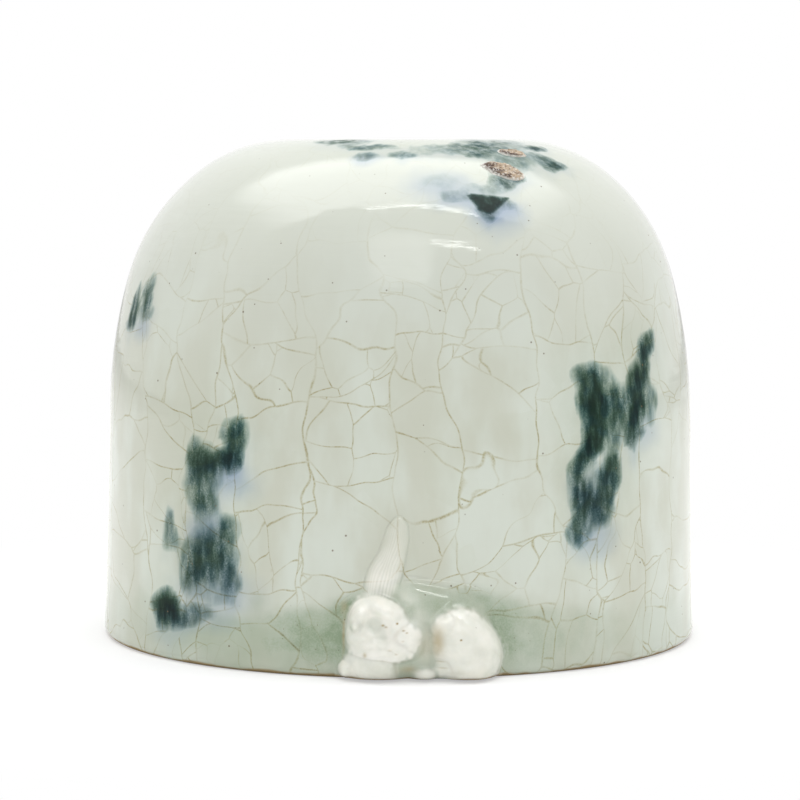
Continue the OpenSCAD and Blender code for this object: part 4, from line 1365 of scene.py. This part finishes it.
class COUPE_OT_set_stage(Operator):
    """Set the floor, the lights and the camera"""

    bl_idname = "coupe.set_stage"
    bl_label = "Set the stage"

    def execute(self, context):
        scene = context.scene
        stage = scene.coupe_stage
        scene.view_settings.view_transform = "Standard"
        scene.world = self.white_world(stage)
        self.white_floor()
        for lamp in LAMPS:
            self.hang(lamp, getattr(stage, lamp.level))
        data = bpy.data.cameras.new("camera")
        data.lens, data.sensor_width = stage.lens_mm, SENSOR_MM
        scene.camera = placed("camera", data)
        scene.camera.matrix_world = (
            Matrix.Translation((0, -stage.camera_back, stage.camera_height))
            @ Matrix.Rotation(math.pi / 2 - stage.camera_tilt, 4, "X")
            @ Matrix.Rotation(stage.camera_roll, 4, "Z")
        )
        return {"FINISHED"}

    @staticmethod
    def white_world(stage):
        """An even room that is white to the camera and in reflections, and dimmer as a light."""
        world = bpy.data.worlds.new("white_room")
        nodes = emptied(world)
        path = nodes.add("ShaderNodeLightPath").outputs
        seen = path["Is Camera Ray"]
        for ray in ("Is Glossy Ray", "Is Transmission Ray"):
            seen = nodes.math("MAXIMUM", seen, path[ray])
        strength = nodes.ramp(seen, 0.0, 1.0, stage.fill, 1.0)
        light = nodes.add("ShaderNodeBackground", {"Color": WHITE, "Strength": strength}).outputs[0]
        nodes.add("ShaderNodeOutputWorld", {"Surface": light})
        return world

    @staticmethod
    def white_floor():
        """A matt table with the pot's shadow, which goes over into plain white away from it."""
        corners = [(x * FLOOR_HALF, y * FLOOR_HALF, 0) for x, y in ((-1, -1), (1, -1), (1, 1), (-1, 1))]
        mesh = bpy.data.meshes.new("floor")
        mesh.from_pydata(corners, [], [(0, 1, 2, 3)])
        material = bpy.data.materials.new("white_table")
        nodes = emptied(material)
        matt = nodes.add("ShaderNodeBsdfDiffuse", {"Color": WHITE}).outputs[0]
        white = nodes.add("ShaderNodeEmission", {"Color": WHITE}).outputs[0]
        away = nodes.vector("LENGTH", nodes.add("ShaderNodeTexCoord").outputs["Object"])
        seen = nodes.add("ShaderNodeLightPath").outputs["Is Camera Ray"]
        share = nodes.times(seen, nodes.ramp(away, 0.04, 0.12, 0.45, 1.0))
        lit = nodes.add("ShaderNodeMixShader", {0: share, 1: matt, 2: white}).outputs[0]
        nodes.add("ShaderNodeOutputMaterial", {"Surface": lit})
        floor = add_piece(mesh, material)

    @staticmethod
    def hang(lamp, brightness):
        """A flat lamp that looks so many times as bright as a white wall."""
        data = bpy.data.lights.new(lamp.name, "AREA")
        data.shape = "RECTANGLE"
        wide, deep = lamp.size
        data.size, data.size_y = wide, deep
        data.energy = brightness * math.pi * wide * deep
        if lamp.soft:
            data.use_nodes = True
            nodes = Nodes(data.node_tree)

            def inward(side):
                off_middle = nodes.math("ABSOLUTE", nodes.math("SUBTRACT", side, 0.5))
                return nodes.math("SUBTRACT", 0.5, off_middle)

            across, along = nodes.split(nodes.add("ShaderNodeNewGeometry").outputs["Parametric"])[:2]
            ends = nodes.math("SUBTRACT", 1.0, along) if lamp.clean else inward(along)
            strength = nodes.times(*(nodes.ramp(edge, 0.0, lamp.soft) for edge in (inward(across), ends)))
            nodes.feed(data.node_tree.nodes["Emission"].inputs["Strength"], strength)
        facing = Vector(lamp.aim).to_track_quat("-Z", "Y").to_matrix().to_4x4()
        placed(lamp.name, data).matrix_world = Matrix.Translation(lamp.place) @ facing


STEPS = (COUPE_OT_throw_pot, COUPE_OT_lute_beast, COUPE_OT_fuse_grit, COUPE_OT_set_stage)


class COUPE_PT_bench(Panel):
    """Steps in the making of the water coupe"""

    bl_label = "Water coupe"
    bl_idname = "COUPE_PT_bench"
    bl_space_type = "VIEW_3D"
    bl_region_type = "UI"
    bl_category = "Coupe"

    def draw(self, context):
        for step in STEPS:
            self.layout.operator(step.bl_idname)


GROUPS = {
    "coupe_pot": PotSizes,
    "coupe_beast": BeastSizes,
    "coupe_grit": GritSizes,
    "coupe_tones": GlazeTones,
    "coupe_stage": StageSizes,
}
CLASSES = (*GROUPS.values(), *STEPS, COUPE_PT_bench)


def register():
    for entry in CLASSES:
        bpy.utils.register_class(entry)
    for name, group in GROUPS.items():
        setattr(bpy.types.Scene, name, PointerProperty(type=group))


def unregister():
    for name in GROUPS:
        delattr(bpy.types.Scene, name)
    for entry in reversed(CLASSES):
        bpy.utils.unregister_class(entry)


def main():
    register()
    bpy.ops.coupe.throw_pot()
    bpy.ops.coupe.lute_beast()
    bpy.ops.coupe.fuse_grit()
    bpy.ops.coupe.set_stage()


if __name__ == "__main__":
    main()
